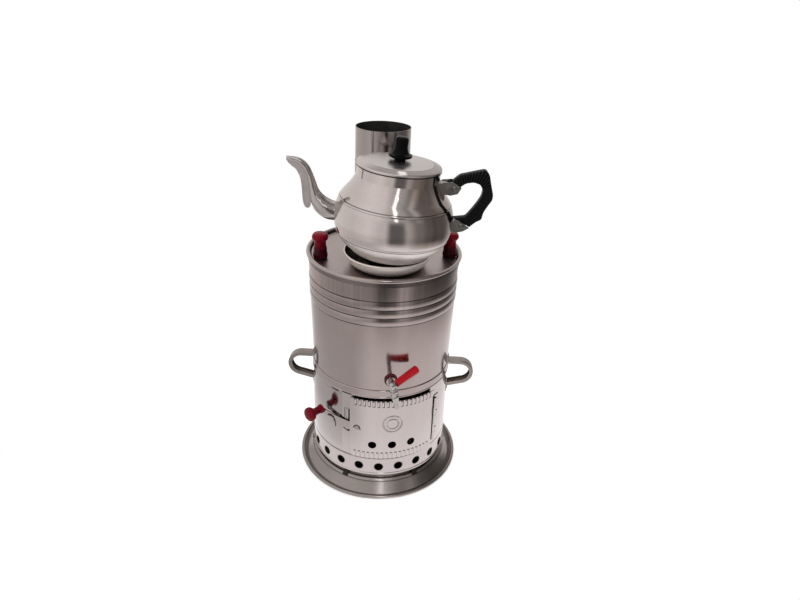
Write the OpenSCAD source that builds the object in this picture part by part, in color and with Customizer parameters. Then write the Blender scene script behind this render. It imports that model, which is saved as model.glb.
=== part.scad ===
// Wood-fired camping samovar with a rear flue, a front tap and a teapot on the lid.
// Millimetres, +Z up. The origin is on the floor at the middle of the body.
// The tap points along -Y. An azimuth is counted from the tap, positive towards +X.

/* [Base tray] */
// Width of the tray's brim, from the crest of the ridge to the outside of the rolled rim
tray_brim = 26; // [20:0.5:40]
// Radius of the rolled rim
tray_bead_r = 3.2; // [2.4:0.1:5]
// How far the crest of the raised ridge lies inside the foot of the firebox
ridge_in = 3.9; // [3:0.1:8]
// Height of the crest of the ridge
ridge_z = 22.5; // [16:0.5:32]
// Width of the slope between the flat pan floor, which catches the ash, and the ridge
pan_slope = 16.5; // [14:0.5:30]
// Sheet thickness of the tray
tray_sheet = 0.8; // [0.6:0.1:1.2]
// Gap between the ridge and the lower edge of the firebox
foot_gap = 8.5; // [5:0.5:14]
// Number of bent tabs that hold the tray to the firebox
tab_count = 6; // [3:1:8]
// Azimuth of the first tab
tab_az = 24.4; // [-60:0.1:60]
// Width of a bent tab
tab_w = 9; // [6:0.5:14]

/* [Firebox] */
// How much wider the top of the firebox is than the lower end of the tank
fire_step = 0.2; // [0:0.1:0.5]
// How much wider the firebox is at its foot than at its top
fire_flare = 2.1; // [0.5:0.1:4]
// Height of the firebox shell
fire_h = 155.5; // [140:0.5:180]
// Sheet thickness of the body
sheet = 0.8; // [0.6:0.1:1.2]
// Number of air holes round the foot of the firebox
air_count = 22; // [16:1:26]
// Diameter of an air hole
air_d = 12.6; // [8:0.2:15]
// Height of the air holes above the lower edge of the firebox
air_up = 15; // [10:0.5:20]
// Azimuth of the first air hole
air_az = -7.4; // [-20:0.1:20]
// Height of the pressed bead that carries the grate, above the lower edge
grate_up = 31.5; // [28:0.5:40]
// Thickness of the grate
grate_t = 2; // [1.5:0.1:4]
// Width of a slot in the grate
grate_slot_w = 6; // [4:0.5:9]
// Height of the doorway above the lower edge of the firebox
doorway_up = 40; // [38:1:50]
// Height of the doorway
doorway_h = 102.5; // [90:0.5:104]
// Azimuth of the left side of the doorway
doorway_left = -27.5; // [-28:0.1:-22]
// Azimuth of the right side of the doorway
doorway_right = 36; // [30:0.1:37]

/* [Door] */
// Azimuth of the free edge of the door
door_left = -31.2; // [-33:0.1:-29]
// Azimuth of the hinge pin
hinge_az = 40.7; // [38:0.1:46]
// Radial play between the door and the latch strap behind it
door_play = 0.6; // [0.5:0.1:1]
// How far the lower edge of the door lies under the doorway
door_lap = 5.5; // [3:0.5:7]
// Height of the door at its free edge
door_h = 106.8; // [90:0.1:107.4]
// How much lower the door's upper edge is at the hinge
door_sag = 2.4; // [0:0.1:4]
// Number of vertical flutes along the upper and lower edge of the door
flute_count = 18; // [8:1:18]
// Pitch of the flutes in degrees
flute_pitch = 3.6; // [3.2:0.05:3.6]
// Azimuth of the middle of the row of flutes
flute_mid = 3.5; // [0:0.1:6]
// Height of a flute
flute_h = 10.5; // [6:0.5:14]
// Radius of the rounding of a flute
flute_r = 2.6; // [2:0.1:3]
// Diameter of the three air holes in the door
door_hole_d = 12.8; // [8:0.2:16]
// Height of those holes above the lower edge of the door
door_hole_up = 25.5; // [20:0.5:40]
// Angle between two of those holes
door_hole_pitch = 15.5; // [10:0.5:20]
// Azimuth of the middle hole and of the round embossing
badge_az = 2.6; // [0:0.1:6]
// Height of the round embossing above the lower edge of the door
badge_up = 64; // [50:0.5:75]
// Outer radius of the round embossing
badge_r = 15; // [8:0.5:18]
// Height of the embossed relief
relief = 0.5; // [0.3:0.1:0.8]
// Radius of the hinge pin
hinge_pin_r = 1.1; // [0.9:0.1:1.6]
// Outer radius of a hinge knuckle
knuckle_r = 2.3; // [2:0.1:3]
// Length of the hinge
hinge_h = 80; // [60:1:92]

/* [Latch] */
// Azimuth of the rivet that the latch turns on
latch_az = -25.2; // [-26:0.1:-24]
// Height of that rivet above the lower edge of the door
latch_up = 53; // [45:0.5:60]
// Curvature radius of the latch strap
latch_curve = 145; // [135:1:170]
// Slope of the strap when it rests, upwards away from the rivet
latch_slope = 5; // [0:0.5:8]
// Thickness of the strap
latch_t = 1; // [0.8:0.1:1.4]
// Width of the strap beside the door
latch_w = 17; // [12:0.5:20]
// Width of the narrow arm of the strap
latch_arm_w = 7.5; // [5:0.5:9]
// Distance from the rivet to the axis of the knob
latch_reach = 64; // [56:1:72]
// Radius of the notch that clears the catch
notch_r = 9.5; // [7:0.5:11]
// Radius of the catch on the firebox
catch_r = 2; // [1.5:0.1:3]
// Radius of the head of the latch knob
latch_knob_r = 11; // [8:0.5:14]
// Length of the latch knob
latch_knob_l = 27; // [20:0.5:34]

/* [Tank] */
// Outer radius of the tank above the band
tank_bottom_r = 106.1; // [96:0.1:118]
// How much wider the tank is at its mouth than above the band
tank_flare = 3.9; // [2:0.1:6]
// Height of the tank from the band to the lid
tank_h = 172.5; // [140:0.5:200]
// Height of the band between the firebox and the tank
band_h = 13; // [10:0.5:18]
// Number of swaged ribs round the tank
rib_count = 3; // [1:1:5]
// Height of one rib
rib_h = 12.6; // [8:0.2:16]
// How far a rib stands out
rib_out = 1.3; // [0.6:0.1:2]
// Distance of the ribs below the lid
rib_down = 28; // [20:1:60]
// Radius of the rolled rim of the tank
rim_bead_r = 3; // [2.6:0.1:4.6]

/* [Flue] */
// Outer radius of the removable chimney pipe
chimney_r = 40.3; // [36:0.1:42]
// Length of the chimney pipe that shows above the flue pipe
chimney_show = 48; // [30:1:120]
// Length of the chimney pipe inside the flue pipe
chimney_socket = 32; // [15:1:60]
// Height of the flue pipe above the lid
flue_up = 119.5; // [60:0.5:140]
// Distance of the flue pipe inside the mouth of the tank, at the back
flue_in = 4.05; // [4:0.05:8]
// Room for water between the tank wall and the flue
flue_wall_gap = 2.5; // [2.5:0.1:8]
// Sheet thickness of the chimney pipe
pipe_sheet = 0.6; // [0.5:0.1:0.9]
// Sheet thickness of the flue pipe
flue_sheet = 0.8; // [0.8:0.1:1.2]
// Radial clearance between the pipes
pipe_gap = 0.1; // [0.05:0.01:0.1]
// Turn of the lid and of the flue against the tap
lid_turn = -2.2; // [-8:0.1:8]

/* [Lid] */
// Radial play between the lid and the rolled rim round it
lid_play = 0.35; // [0.3:0.05:0.8]
// Sheet thickness of the lid
lid_sheet = 0.8; // [0.6:0.1:1.2]
// Depth of the lid's skirt inside the tank
lid_skirt = 9; // [6:0.5:16]
// Radial clearance between the lid and the flue pipe
lid_flue_gap = 1; // [0.6:0.1:2]
// Distance of a lid knob inside the edge of the lid
knob_in = 11.75; // [11.75:0.05:20]
// Azimuth of a lid knob, to either side of the lid's front
knob_az = 77; // [70:0.5:95]
// Height of a lid knob
knob_h = 37; // [30:0.5:50]
// Radius of the head of a lid knob
knob_head_r = 11.6; // [8:0.2:14]
// Radius of the waist of a lid knob
knob_waist_r = 8; // [5:0.2:9]
// Radius of the foot of a lid knob
knob_foot_r = 10.8; // [9:0.2:11.2]
// Radius of the screw of a knob
knob_screw_r = 2; // [1.5:0.1:3]
// How far the seat's axis lies behind the teapot's axis
seat_back = 8.8; // [8:0.1:9.6]
// How much wider the rim of the teapot seat is than its foot
seat_flare = 17.4; // [14:0.2:24]
// Outer radius of the rim of the teapot seat
seat_rim_r = 61.4; // [54:0.2:62]
// Height of the teapot seat
seat_h = 21.5; // [16:0.5:30]
// Radius of the rolled rim of the seat
seat_bead_r = 1.5; // [1.2:0.1:2]
// Radius of a steam hole in the lid, under the seat
steam_hole_r = 5; // [3:0.5:7]

/* [Tap] */
// Height of the tap's shank above the tank floor
tap_up = 18.7; // [15:0.1:30]
// Distance from the tank wall to the axis of the tap's barrel
tap_reach = 36; // [30:0.5:44]
// Outer radius of the shank
shank_r = 4.4; // [4:0.1:6]
// Radius of the water passage
water_r = 2.2; // [2:0.1:2.4]
// Outer radius of the sealing washers
washer_r = 9.6; // [8:0.1:11]
// Outer radius of the collar at the top of the barrel
barrel_r = 5.9; // [5.6:0.1:8]
// Height of the barrel above the shank's axis
barrel_up = 7.2; // [7:0.1:9]
// Depth of the barrel below the shank's axis
barrel_down = 5; // [4.8:0.1:7]
// Lean of the barrel to the left, in degrees
tap_roll = 11.5; // [0:0.5:15]
// Height of the head of the plug
head_h = 13.3; // [12:0.1:16]
// Radius of the turning plug
plug_r = 3.2; // [3:0.1:3.5]
// Radial running clearance of the plug
plug_gap = 0.05; // [0.02:0.01:0.1]
// Length of the nozzle below the barrel
nozzle_l = 18.6; // [12:0.1:24]
// Outer radius of the nozzle's mouth
nozzle_r = 3.2; // [3:0.1:4]
// Direction of the lever when shut, as an azimuth about the barrel
lever_az = 123; // [110:1:130]
// Rise of the lever in degrees
lever_rise = 2; // [0:1:15]
// Length of the red grip
grip_l = 40; // [30:0.5:42]
// Radius of the grip at its outer end
grip_r = 6; // [4.5:0.1:6.5]

/* [Side handles] */
// Width of the bent channel
handle_w = 14.5; // [14:0.1:18]
// Depth of the channel
handle_t = 6; // [5:0.2:8]
// Sheet thickness of the channel
handle_sheet = 1.2; // [1:0.1:1.6]
// How far a handle stands out from the foot of the firebox
handle_reach = 40.1; // [34:0.1:50]
// Distance of the top of a handle below the tank floor
handle_drop = 5.1; // [4:0.1:5.4]
// Height from the lower root to the top of a handle
handle_h = 48.4; // [44:0.1:60]
// Slope of the lower arm in degrees
handle_slope = 15; // [8:0.1:22]
// Azimuth of the handles, to either side, before their turn
handle_az = 90; // [80:1:100]
// Turn of both handles against the tap
handle_turn = -11; // [-14:0.5:6]
// Radius of a rivet's shank
rivet_r = 1.6; // [1.2:0.1:2.4]

/* [Teapot] */
// Radius of the flat bottom of the teapot
pot_base_r = 46.5; // [40:0.5:47]
// Radius of the belly
pot_belly_r = 79.4; // [70:0.2:79.4]
// Height of the belly above the bottom
pot_belly_z = 55; // [45:1:65]
// Radius of the collar under the lid
pot_neck_r = 54.3; // [48:0.2:58]
// Height of the teapot without its lid
pot_h = 125; // [115:1:140]
// Height of the collar under the lid
collar_h = 15; // [13:0.5:17]
// Sheet thickness of the teapot
pot_sheet = 0.9; // [0.6:0.1:1.2]
// Height of the upper seam above the bottom
pot_seam_z = 78.5; // [70:0.5:84]
// Height of the lower seam above the bottom
pot_bead_z = 33; // [26:0.5:40]
// Lean of the teapot in its seat
pot_tilt = 4; // [0:0.5:5]
// Turn of the teapot against the lid
pot_turn = -6; // [-10:0.5:10]
// Sideways place of the teapot's bottom on the lid
pot_side = 1.4; // [-3:0.1:3]
// Gap between the belly and the flue pipe
pot_flue_gap = 0.85; // [0.6:0.05:4]
// Gap between the teapot and its seat
pot_seat_gap = 0.35; // [0.2:0.05:0.6]
// Height of the spout's mouth above its root
spout_rise = 62.4; // [52:0.2:70]
// Thickness of the moulded handle
pot_grip_t = 15; // [10:0.5:20]
// Radial play between the teapot's lid and its collar
pot_lid_play = 0.5; // [0.3:0.1:0.8]
// Height of the domed lid above its rim
pot_lid_rise = 3.85; // [2:0.05:8]
// Height of the teapot's lid knob
pot_knob_h = 30; // [26:0.5:40]
// Radius of the skirt of the teapot's lid knob
pot_knob_r = 15.4; // [12:0.2:18]

/* [Hidden] */
$fn = 96;

// Clearance between pieces that are fastened together
seat_gap = 0.05;
// Clearance between sheets of one body that face each other
face_gap = 0.1;
// How far a cutting tool passes its target
over = 1;

band_sheet = 0.8;

// Radii that follow the tank
fire_top_r = tank_bottom_r + fire_step;
fire_bottom_r = fire_top_r + fire_flare;
tank_top_r = tank_bottom_r + tank_flare;
ridge_r = fire_bottom_r - ridge_in;
tray_r = ridge_r + tray_brim;
pan_r = ridge_r - pan_slope;
drill_in = 5;
drill_l = 12;

// Heights of the main joints
fire_z0 = ridge_z + foot_gap;
fire_z1 = fire_z0 + fire_h;
tank_z0 = fire_z1 + band_sheet + 2 * face_gap;
tank_z1 = tank_z0 + tank_h;
band_z0 = tank_z0 - band_h;

// ---- Curves and sheets ----
function arc(cx, cy, r, a0, a1, n) =
    [for (i = [0:n]) [cx + r * cos(a0 + (a1 - a0) * i / n), cy + r * sin(a0 + (a1 - a0) * i / n)]];
function bez(a, b, c, n) =
    [for (i = [0:n]) pow(1 - i / n, 2) * a + 2 * (1 - i / n) * i / n * b + pow(i / n, 2) * c];
function unit(v) = v / norm(v);
function left_of(v) = [-v.y, v.x] / norm(v);
function joint_side(a, b) = (a + b) / (1 + a * b);
function side_at(p, i) =
    i == 0 ? left_of(p[1] - p[0]) :
    i == len(p) - 1 ? left_of(p[i] - p[i - 1]) :
    joint_side(left_of(p[i] - p[i - 1]), left_of(p[i + 1] - p[i]));
function thicken(p, t) = concat(p, [for (i = [len(p) - 1:-1:0]) p[i] + side_at(p, i) * t]);

// A spun sheet: the path runs in (radius, height), and the metal lies on its left
module spun(path, t) {
    rotate_extrude() polygon(thicken(path, t));
}

// A place at an azimuth: local -Y points outwards and local +X to the right
module at_az(a, r = 0, z = 0) {
    rotate([0, 0, a]) translate([0, -r, z]) children();
}

// A rod along local -Y, from y = 0 outwards
module outward(r, h, r2 = undef) {
    rotate([90, 0, 0]) cylinder(r1 = r, r2 = is_undef(r2) ? r : r2, h = h);
}

// The part of a spun polygon between two azimuths
module sector(a0, a1) {
    rotate([0, 0, a0 - 90]) rotate_extrude(angle = a1 - a0) children();
}

// ---- Firebox ----
function fire_r(z) = fire_bottom_r + (fire_top_r - fire_bottom_r) * (z - fire_z0) / fire_h;
crease_z = fire_z0 + grate_up;
crease_out = 0.5;
crease_half = 1.6;
lip_out = 0.7;
lip_h = 2.4;
air_z = fire_z0 + air_up;
doorway_z0 = fire_z0 + doorway_up;
doorway_z1 = doorway_z0 + doorway_h;
// Outline of the firebox wall, from its lower edge up, with a lip and one pressed bead
fire_path = [
    [fire_r(fire_z0) + lip_out, fire_z0],
    [fire_r(fire_z0) + lip_out, fire_z0 + lip_h],
    [fire_r(fire_z0 + lip_h + 1), fire_z0 + lip_h + 1],
    [fire_r(crease_z - crease_half), crease_z - crease_half],
    [fire_r(crease_z) + crease_out, crease_z],
    [fire_r(crease_z + crease_half), crease_z + crease_half],
    [fire_r(fire_z1), fire_z1]
];

module firebox_shell() color([0.82, 0.8, 0.8]) difference() {
    spun(fire_path, sheet);
    for (i = [0:air_count - 1])
        at_az(air_az + i * 360 / air_count, fire_top_r - drill_in, air_z) outward(air_d / 2, drill_l);
    sector(doorway_left, doorway_right)
        translate([fire_top_r - 8, doorway_z0]) square([16, doorway_h]);
    at_az(latch_catch_az, fire_top_r - drill_in, latch_catch_z) outward(catch_r, drill_l);
    // A narrow slit under the band
    at_az(slit_az, fire_top_r - drill_in, band_z0 - slit_down)
        translate([-slit_w / 2, -drill_l, -slit_h / 2]) cube([slit_w, drill_l, slit_h]);
    for (s = [-1, 1]) {
        lower_rivets(s) outward(rivet_r + seat_gap, drill_l);
        upper_rivets(s) outward(rivet_r + seat_gap, drill_l);
    }
}

slit_az = -46.6;
slit_down = 2;
slit_w = 7;
slit_h = 1.2;
ledge_t = 0.8;
ledge_w = 9;
ledge_drop = 5;
ledge_r = fire_r(crease_z) - sheet - 0.25;

module grate_ledge() color([0.5, 0.48, 0.47]) spun([
    [ledge_r, crease_z - ledge_drop], [ledge_r, crease_z], [ledge_r - ledge_w, crease_z]
], ledge_t);

grate_r = ledge_r - 1.2;
grate_z = crease_z + face_gap;
slot_pitch = grate_slot_w * 2.2;
slot_rows = floor((grate_r - ledge_w - grate_slot_w) / slot_pitch);
function slot_half(i) = sqrt(pow(grate_r - ledge_w - 4, 2) - pow(abs(i) * slot_pitch + grate_slot_w / 2, 2));

module fire_grate() color([0.28, 0.26, 0.25]) difference() {
    translate([0, 0, grate_z]) cylinder(r = grate_r, h = grate_t);
    for (i = [-slot_rows:slot_rows], s = [-1, 1])
        translate([i * slot_pitch - grate_slot_w / 2, s > 0 ? 3 : -slot_half(i), grate_z - over])
            cube([grate_slot_w, slot_half(i) - 3, grate_t + 2 * over]);
}

// ---- Base tray and foot ----
ridge_bend_r = 6;
bead_c = [tray_r - tray_bead_r, tray_bead_r];
bead_in_r = tray_bead_r - tray_sheet;
slope_foot = bead_c + [-tray_bead_r - 2.6, 0.6 - tray_sheet];
ridge_c = [ridge_r, ridge_z - ridge_bend_r];
tray_path = concat(
    [[0, 0]],
    arc(pan_r, 5, 5, -90, -20, 5),
    arc(ridge_c.x, ridge_c.y, ridge_bend_r - tray_sheet, 165, 25, 8),
    bez([ridge_r + 8, ridge_z - 13], [ridge_r + 11, 6], slope_foot, 6),
    arc(bead_c.x, bead_c.y, bead_in_r, 140, -150, 12)
);

module base_tray() color([0.72, 0.7, 0.69]) spun(tray_path, tray_sheet);

foot_r = ridge_r - 0.4;
foot_sheet = 0.8;
tab_sheet = 0.8;

module foot_ring() color([0.6, 0.58, 0.57]) spun([
    [foot_r, ridge_z + face_gap], [foot_r, fire_z0 + 1.2],
    [fire_bottom_r - sheet - 0.3, fire_z0 + 1.2]
], foot_sheet);

tab_leg_h = foot_gap - 3;

// A tab runs down the foot ring and is bent out over the shoulder of the ridge
module foot_tabs() color([0.6, 0.58, 0.57])
    for (i = [0:tab_count - 1]) {
        at_az(tab_az + i * 360 / tab_count, foot_r + seat_gap, ridge_z + foot_gap - tab_leg_h - 0.5)
            translate([-tab_w / 2, -tab_sheet, 0]) cube([tab_w, tab_sheet, tab_leg_h]);
        at_az(tab_az + i * 360 / tab_count, ridge_r, ridge_c.y) rotate([45, 0, 0])
            translate([-tab_w / 2, -3, ridge_bend_r + face_gap]) cube([tab_w, 9.2, tab_sheet]);
    }

// ---- Door ----
door_z0 = doorway_z0 - door_lap;
door_z1 = door_z0 + door_h;
door_sheet = 0.8;
frame_t = 0.6;
keeper_t = 0.35;
// Radial distance from the firebox to the strap, and from there to the inside of the door
strap_off = seat_gap + frame_t + 2 * keeper_t;
door_gap = strap_off + latch_t + door_play;
function door_in(z) = fire_r(z) + door_gap;
function door_out(z) = door_in(z) + door_sheet;
door_mid_z = door_z0 + door_h / 2;
hinge_r = door_out(door_mid_z) + 0.4;
hinge_z0 = door_z0 + 9;
knuckle_count = 5;
knuckle_gap = 0.4;
knuckle_h = hinge_h / knuckle_count;
function knuckle_z(i) = hinge_z0 + i * knuckle_h + knuckle_gap / 2;
knuckle_l = knuckle_h - knuckle_gap;
pin_gap = 0.06;
// The sheet stops short of the knuckles that it does not belong to
door_right = hinge_az - 1.8;
badge_z = door_z0 + badge_up;
hole_z = door_z0 + door_hole_up;
flute_out = 0.9;
flute_from = flute_mid - flute_pitch * (flute_count - 1) / 2;
function flute_az(i) = flute_from + i * flute_pitch;
// Height of the door's upper edge at an azimuth
function door_top(a) = door_z1 - door_sag * (a - door_left) / (hinge_az - door_left);
// Sideways place of an azimuth, seen square on to the middle of the door
door_mid_az = (door_left + door_right) / 2;
function door_x(a) = door_out(door_mid_z) * sin(a - door_mid_az);
scallop = 1.1;

// Outline of the door, seen from the front, with a scalloped upper edge
door_outline = concat(
    [[door_x(door_right), door_z0], [door_x(door_right), door_top(door_right) - scallop]],
    [for (i = [flute_count - 1:-1:0], k = [2:-1:-2]) let (a = flute_az(i) + k * flute_pitch / 4)
        [door_x(a), door_top(a) - scallop * k * k / 4]],
    [[door_x(door_left) + 2, door_z1 - scallop], [door_x(door_left), door_z1 - scallop - 2]],
    [[door_x(door_left), door_z0 + 3], [door_x(door_left) + 3, door_z0]]
);

module door_skin(extra) {
    sector(door_left - 2, door_right + 0.5) polygon([
        [door_in(door_z0 - 2), door_z0 - 2], [door_out(door_z0 - 2) + extra, door_z0 - 2],
        [door_out(door_z1 + 2) + extra, door_z1 + 2], [door_in(door_z1 + 2), door_z1 + 2]
    ]);
}

// Standing rods whose outer faces make the flutes
module flute_rods() {
    for (i = [0:flute_count - 1]) {
        at_az(flute_az(i), door_out(door_z1) + flute_out - flute_r, door_top(flute_az(i)) - flute_h)
            cylinder(r = flute_r, h = flute_h + over, $fn = 24);
        at_az(flute_az(i), door_out(door_z0) + relief - flute_r, door_z0 - over)
            cylinder(r = flute_r, h = flute_h + over, $fn = 24);
    }
}

module badge_ring(r, w) {
    at_az(badge_az, fire_top_r, badge_z) difference() {
        outward(r, 12);
        translate([0, over, 0]) outward(r - w, 14);
    }
}

module knuckles(first) {
    for (i = [first:2:knuckle_count - 1])
        translate([0, 0, knuckle_z(i)]) cylinder(r = knuckle_r, h = knuckle_l, $fn = 32);
}

module pin_hole() {
    translate([0, 0, hinge_z0 - over]) cylinder(r = hinge_pin_r + pin_gap, h = hinge_h + 2 * over);
}

module door_panel() color([0.84, 0.82, 0.82]) difference() {
    union() {
        intersection() {
            union() {
                door_skin(0);
                intersection() {
                    door_skin(3);
                    flute_rods();
                }
                intersection() {
                    door_skin(relief);
                    union() {
                        badge_ring(badge_r, 1.6);
                        badge_ring(badge_r * 0.62, 1.2);
                    }
                }
            }
            rotate([0, 0, door_mid_az]) rotate([90, 0, 0]) linear_extrude(fire_bottom_r * 2)
                polygon(door_outline);
        }
        at_az(hinge_az, hinge_r) {
            knuckles(1);
            // The sheet runs on into the door's own knuckles
            for (i = [1:2:knuckle_count - 1])
                translate([-4.4, 0.3, knuckle_z(i)]) cube([4.4, door_sheet, knuckle_l]);
        }
    }
    at_az(hinge_az, hinge_r) pin_hole();
    for (i = [-1:1])
        at_az(badge_az + i * door_hole_pitch, fire_top_r, hole_z) outward(door_hole_d / 2, 14);
    at_az(latch_az, fire_top_r, latch_z) outward(rivet_r + latch_play, 14);
}

leaf_t = 0.8;

// A curved plate lying on the firebox between two azimuths and two heights
module shell_plate(a0, a1, z0, z1, t) {
    sector(a0, a1) polygon([
        [fire_r(z0) + seat_gap, z0], [fire_r(z0) + seat_gap + t, z0],
        [fire_r(z1) + seat_gap + t, z1], [fire_r(z1) + seat_gap, z1]
    ]);
}

module hinge_leaf() color([0.8, 0.78, 0.78]) difference() {
    union() {
        at_az(hinge_az, hinge_r) knuckles(0);
        for (i = [0:2:knuckle_count - 1])
            shell_plate(hinge_az, hinge_az + 7.5, knuckle_z(i), knuckle_z(i) + knuckle_l, leaf_t);
        // A web joins each knuckle to the leaf
        for (i = [0:2:knuckle_count - 1])
            at_az(hinge_az, hinge_r, knuckle_z(i)) translate([knuckle_r - leaf_t - 0.1, 0, 0])
                cube([leaf_t, hinge_r - fire_r(knuckle_z(i)) - 0.3, knuckle_l]);
    }
    at_az(hinge_az, hinge_r) pin_hole();
}

module hinge_pin() color([0.6, 0.58, 0.57]) at_az(hinge_az, hinge_r, hinge_z0 - 0.6)
    cylinder(r = hinge_pin_r, h = hinge_h + 1.2);

// Angles and heights of the strip, and of the window pressed in it
frame_az = 8;
frame_lap_az = 0.6;
frame_up = door_h * 0.114;
window_az = [0.2, 5.6];
window_edge_az = 1.2;
window_up = latch_w * 0.47;
window_h = latch_w * 1.18;
window_edge = latch_w * 0.176;
frame_left = door_left - frame_az;

// A strip spot-welded beside the doorway, with a small raised window for the door's edge
module door_frame_strip() color([0.8, 0.78, 0.78]) difference() {
    union() {
        shell_plate(frame_left, doorway_left - frame_lap_az, door_z0 + frame_up, band_z0 - 0.4, frame_t);
        shell_plate(door_left - window_az[1], door_left - window_az[0], latch_z + window_up,
            latch_z + window_up + window_h, frame_t + keeper_t);
    }
    sector(door_left - window_az[1] + window_edge_az, door_left - window_az[0] - window_edge_az)
        translate([fire_r(latch_z) + frame_t * 0.6, latch_z + window_up + window_edge])
            square([5, window_h - 2 * window_edge]);
}

// ---- Latch ----
latch_z = door_z0 + latch_up;
latch_play = 0.06;
// Radius of the strap's inner face at the rivet
latch_in = fire_r(latch_z) + strap_off;
latch_angle = asin(latch_reach / latch_curve);
arm_top = latch_w / 2 - 2;
arm_low = arm_top - latch_arm_w;
arm_mid = arm_top - latch_arm_w / 2;
strap_low = arm_top - latch_w;
catch_t = latch_reach * 0.62;
catch_v = strap_low + 4.5;
notch_x = -catch_t - 3;
// The rounded end of the arm starts a little past square
arm_end = 100;

// The strap's own frame: x to the right and z up from the rivet, y inwards
module latch_frame() at_az(latch_az, latch_in, latch_z) rotate([0, latch_slope, 0]) children();

// Place of the catch, sideways and inwards from the rivet and upwards
catch_x = -catch_t * cos(latch_slope) + catch_v * sin(latch_slope);
catch_y = latch_in - catch_t * catch_t / 2 / latch_curve;
latch_catch_az = latch_az + atan2(catch_x, catch_y);
latch_catch_z = latch_z + catch_t * sin(latch_slope) + catch_v * cos(latch_slope);

// Outline of the strap seen from outside, with a round notch over the catch
module strap_outline() {
    difference() {
        polygon(concat(
            [[7, arm_top - 2], [5, arm_top], [-latch_reach, arm_top]],
            arc(-latch_reach, arm_mid, latch_arm_w / 2, arm_end, 360 - arm_end, 8),
            [[-latch_reach, arm_low]],
            arc(notch_x, strap_low, arm_low - strap_low, 90, 12, 8),
            [[notch_x + arm_low - strap_low + 1.4, strap_low], [4, strap_low], [7, strap_low + 3]]
        ));
        circle(r = rivet_r + latch_play);
    }
}

module latch_strap() color([0.8, 0.78, 0.78]) latch_frame() difference() {
    intersection() {
        rotate([90, 0, 0]) translate([0, 0, -latch_reach]) linear_extrude(latch_reach + 10)
            strap_outline();
        translate([0, latch_curve, -30]) difference() {
            cylinder(r = latch_curve + latch_t, h = 60, $fn = 180);
            translate([0, 0, -over]) cylinder(r = latch_curve, h = 60 + 2 * over, $fn = 180);
        }
    }
    strap_end() translate([0, 3, 0]) outward(knob_screw_r + seat_gap, 8);
}

module latch_rivet() color([0.7, 0.68, 0.67]) at_az(latch_az, 0, latch_z) {
    translate([0, -latch_in + 0.35, 0]) outward(rivet_r + 1.4, 0.3);
    translate([0, -latch_in + 0.3, 0]) outward(rivet_r, door_out(latch_z) - latch_in + 0.8);
    translate([0, -door_out(latch_z) - 0.15, 0]) outward(3.4, 1.1, 2.4);
}

// A catch pin welded to the firebox, under the strap's arm
module latch_catch() color([0.6, 0.58, 0.57])
    at_az(latch_catch_az, fire_r(latch_catch_z) - sheet - 0.6, latch_catch_z)
        outward(catch_r - seat_gap, strap_off + latch_t + 3.2);

// The outer end of the strap, where the knob stands square on it
module strap_end() translate([0, latch_curve, arm_mid]) rotate([0, 0, -latch_angle])
    translate([0, -latch_curve, 0]) children();

module turned(profile) {
    rotate([90, 0, 0]) rotate_extrude() polygon(profile);
}

latch_neck_r = latch_knob_r * 0.52;
latch_knob_profile = concat(
    [[0, 0], [latch_neck_r + 1.6, 0]],
    bez([latch_neck_r + 1.6, 1], [latch_neck_r - 1.4, latch_knob_l * 0.32],
        [latch_knob_r * 0.72, latch_knob_l * 0.56], 6),
    bez([latch_knob_r * 0.94, latch_knob_l * 0.6], [latch_knob_r * 1.1, latch_knob_l * 0.76],
        [latch_knob_r * 0.9, latch_knob_l * 0.92], 6),
    bez([latch_knob_r * 0.8, latch_knob_l * 0.97], [latch_knob_r * 0.5, latch_knob_l],
        [0, latch_knob_l], 4)
);
latch_screw_l = 12;

module latch_knob() color([0.62, 0.02, 0.06]) latch_frame() strap_end() difference() {
    translate([0, -latch_t - seat_gap, 0]) turned(latch_knob_profile);
    outward(knob_screw_r + seat_gap, latch_screw_l + 1);
}

module latch_knob_screw() color([0.7, 0.68, 0.67]) latch_frame() strap_end() {
    translate([0, 1.2 + seat_gap, 0]) outward(knob_screw_r + 1.4, 1.2);
    translate([0, 0.5, 0]) outward(knob_screw_r, latch_screw_l + 0.5);
}

// ---- Band, tank and rim ----
band_r = max(fire_r(band_z0), tank_bottom_r) + face_gap + band_sheet;
// How far the band is turned in between the firebox and the tank
band_lip = 3;

module seam_band() color([0.8, 0.78, 0.78]) difference() {
    spun([
        [band_r + 0.6, band_z0], [band_r + 0.6, band_z0 + 1.2], [band_r, band_z0 + 2],
        [band_r, tank_z0 - 1], [band_r - 0.6, tank_z0 - face_gap],
        [tank_bottom_r - band_lip, tank_z0 - face_gap]
    ], band_sheet);
    for (s = [-1, 1]) upper_rivets(s) outward(rivet_r + seat_gap, drill_l);
}

function tank_r(z) = tank_bottom_r + (tank_top_r - tank_bottom_r) * (z - tank_z0) / tank_h;
rib_z1 = tank_z1 - rib_down;
rib_z0 = rib_z1 - rib_count * rib_h;
rib_steps = 6;
// Each rib is one smooth wave of the wall
function rib_path() = [
    for (i = [0:rib_count * rib_steps])
        let (z = rib_z0 + i * rib_h / rib_steps)
            [tank_r(z) + rib_out * pow(sin(180 * i / rib_steps), 2), z]
];

module tank_shell() color([0.7, 0.67, 0.66]) difference() {
    spun(concat([[tank_bottom_r, tank_z0]], rib_path(), [[tank_top_r, tank_z1]]), sheet);
    at_az(0, tank_bottom_r - drill_in, tap_z) outward(shank_r + seat_gap, drill_l);
}

// A flat plate soldered into the foot of the tank, round the flue
module tank_floor() color([0.6, 0.58, 0.57]) difference() {
    translate([0, 0, tank_z0]) cylinder(r = tank_bottom_r - sheet - seat_gap, h = sheet);
    flue_place() translate([0, 0, tank_z0 - over]) cylinder(r = inner_flue_r + seat_gap, h = sheet + 2 * over);
}

rim_c = [tank_top_r + 0.5, tank_z1 + rim_bead_r + face_gap];
lid_z = tank_z1;
lid_r = rim_c.x - rim_bead_r - lid_play;

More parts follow.
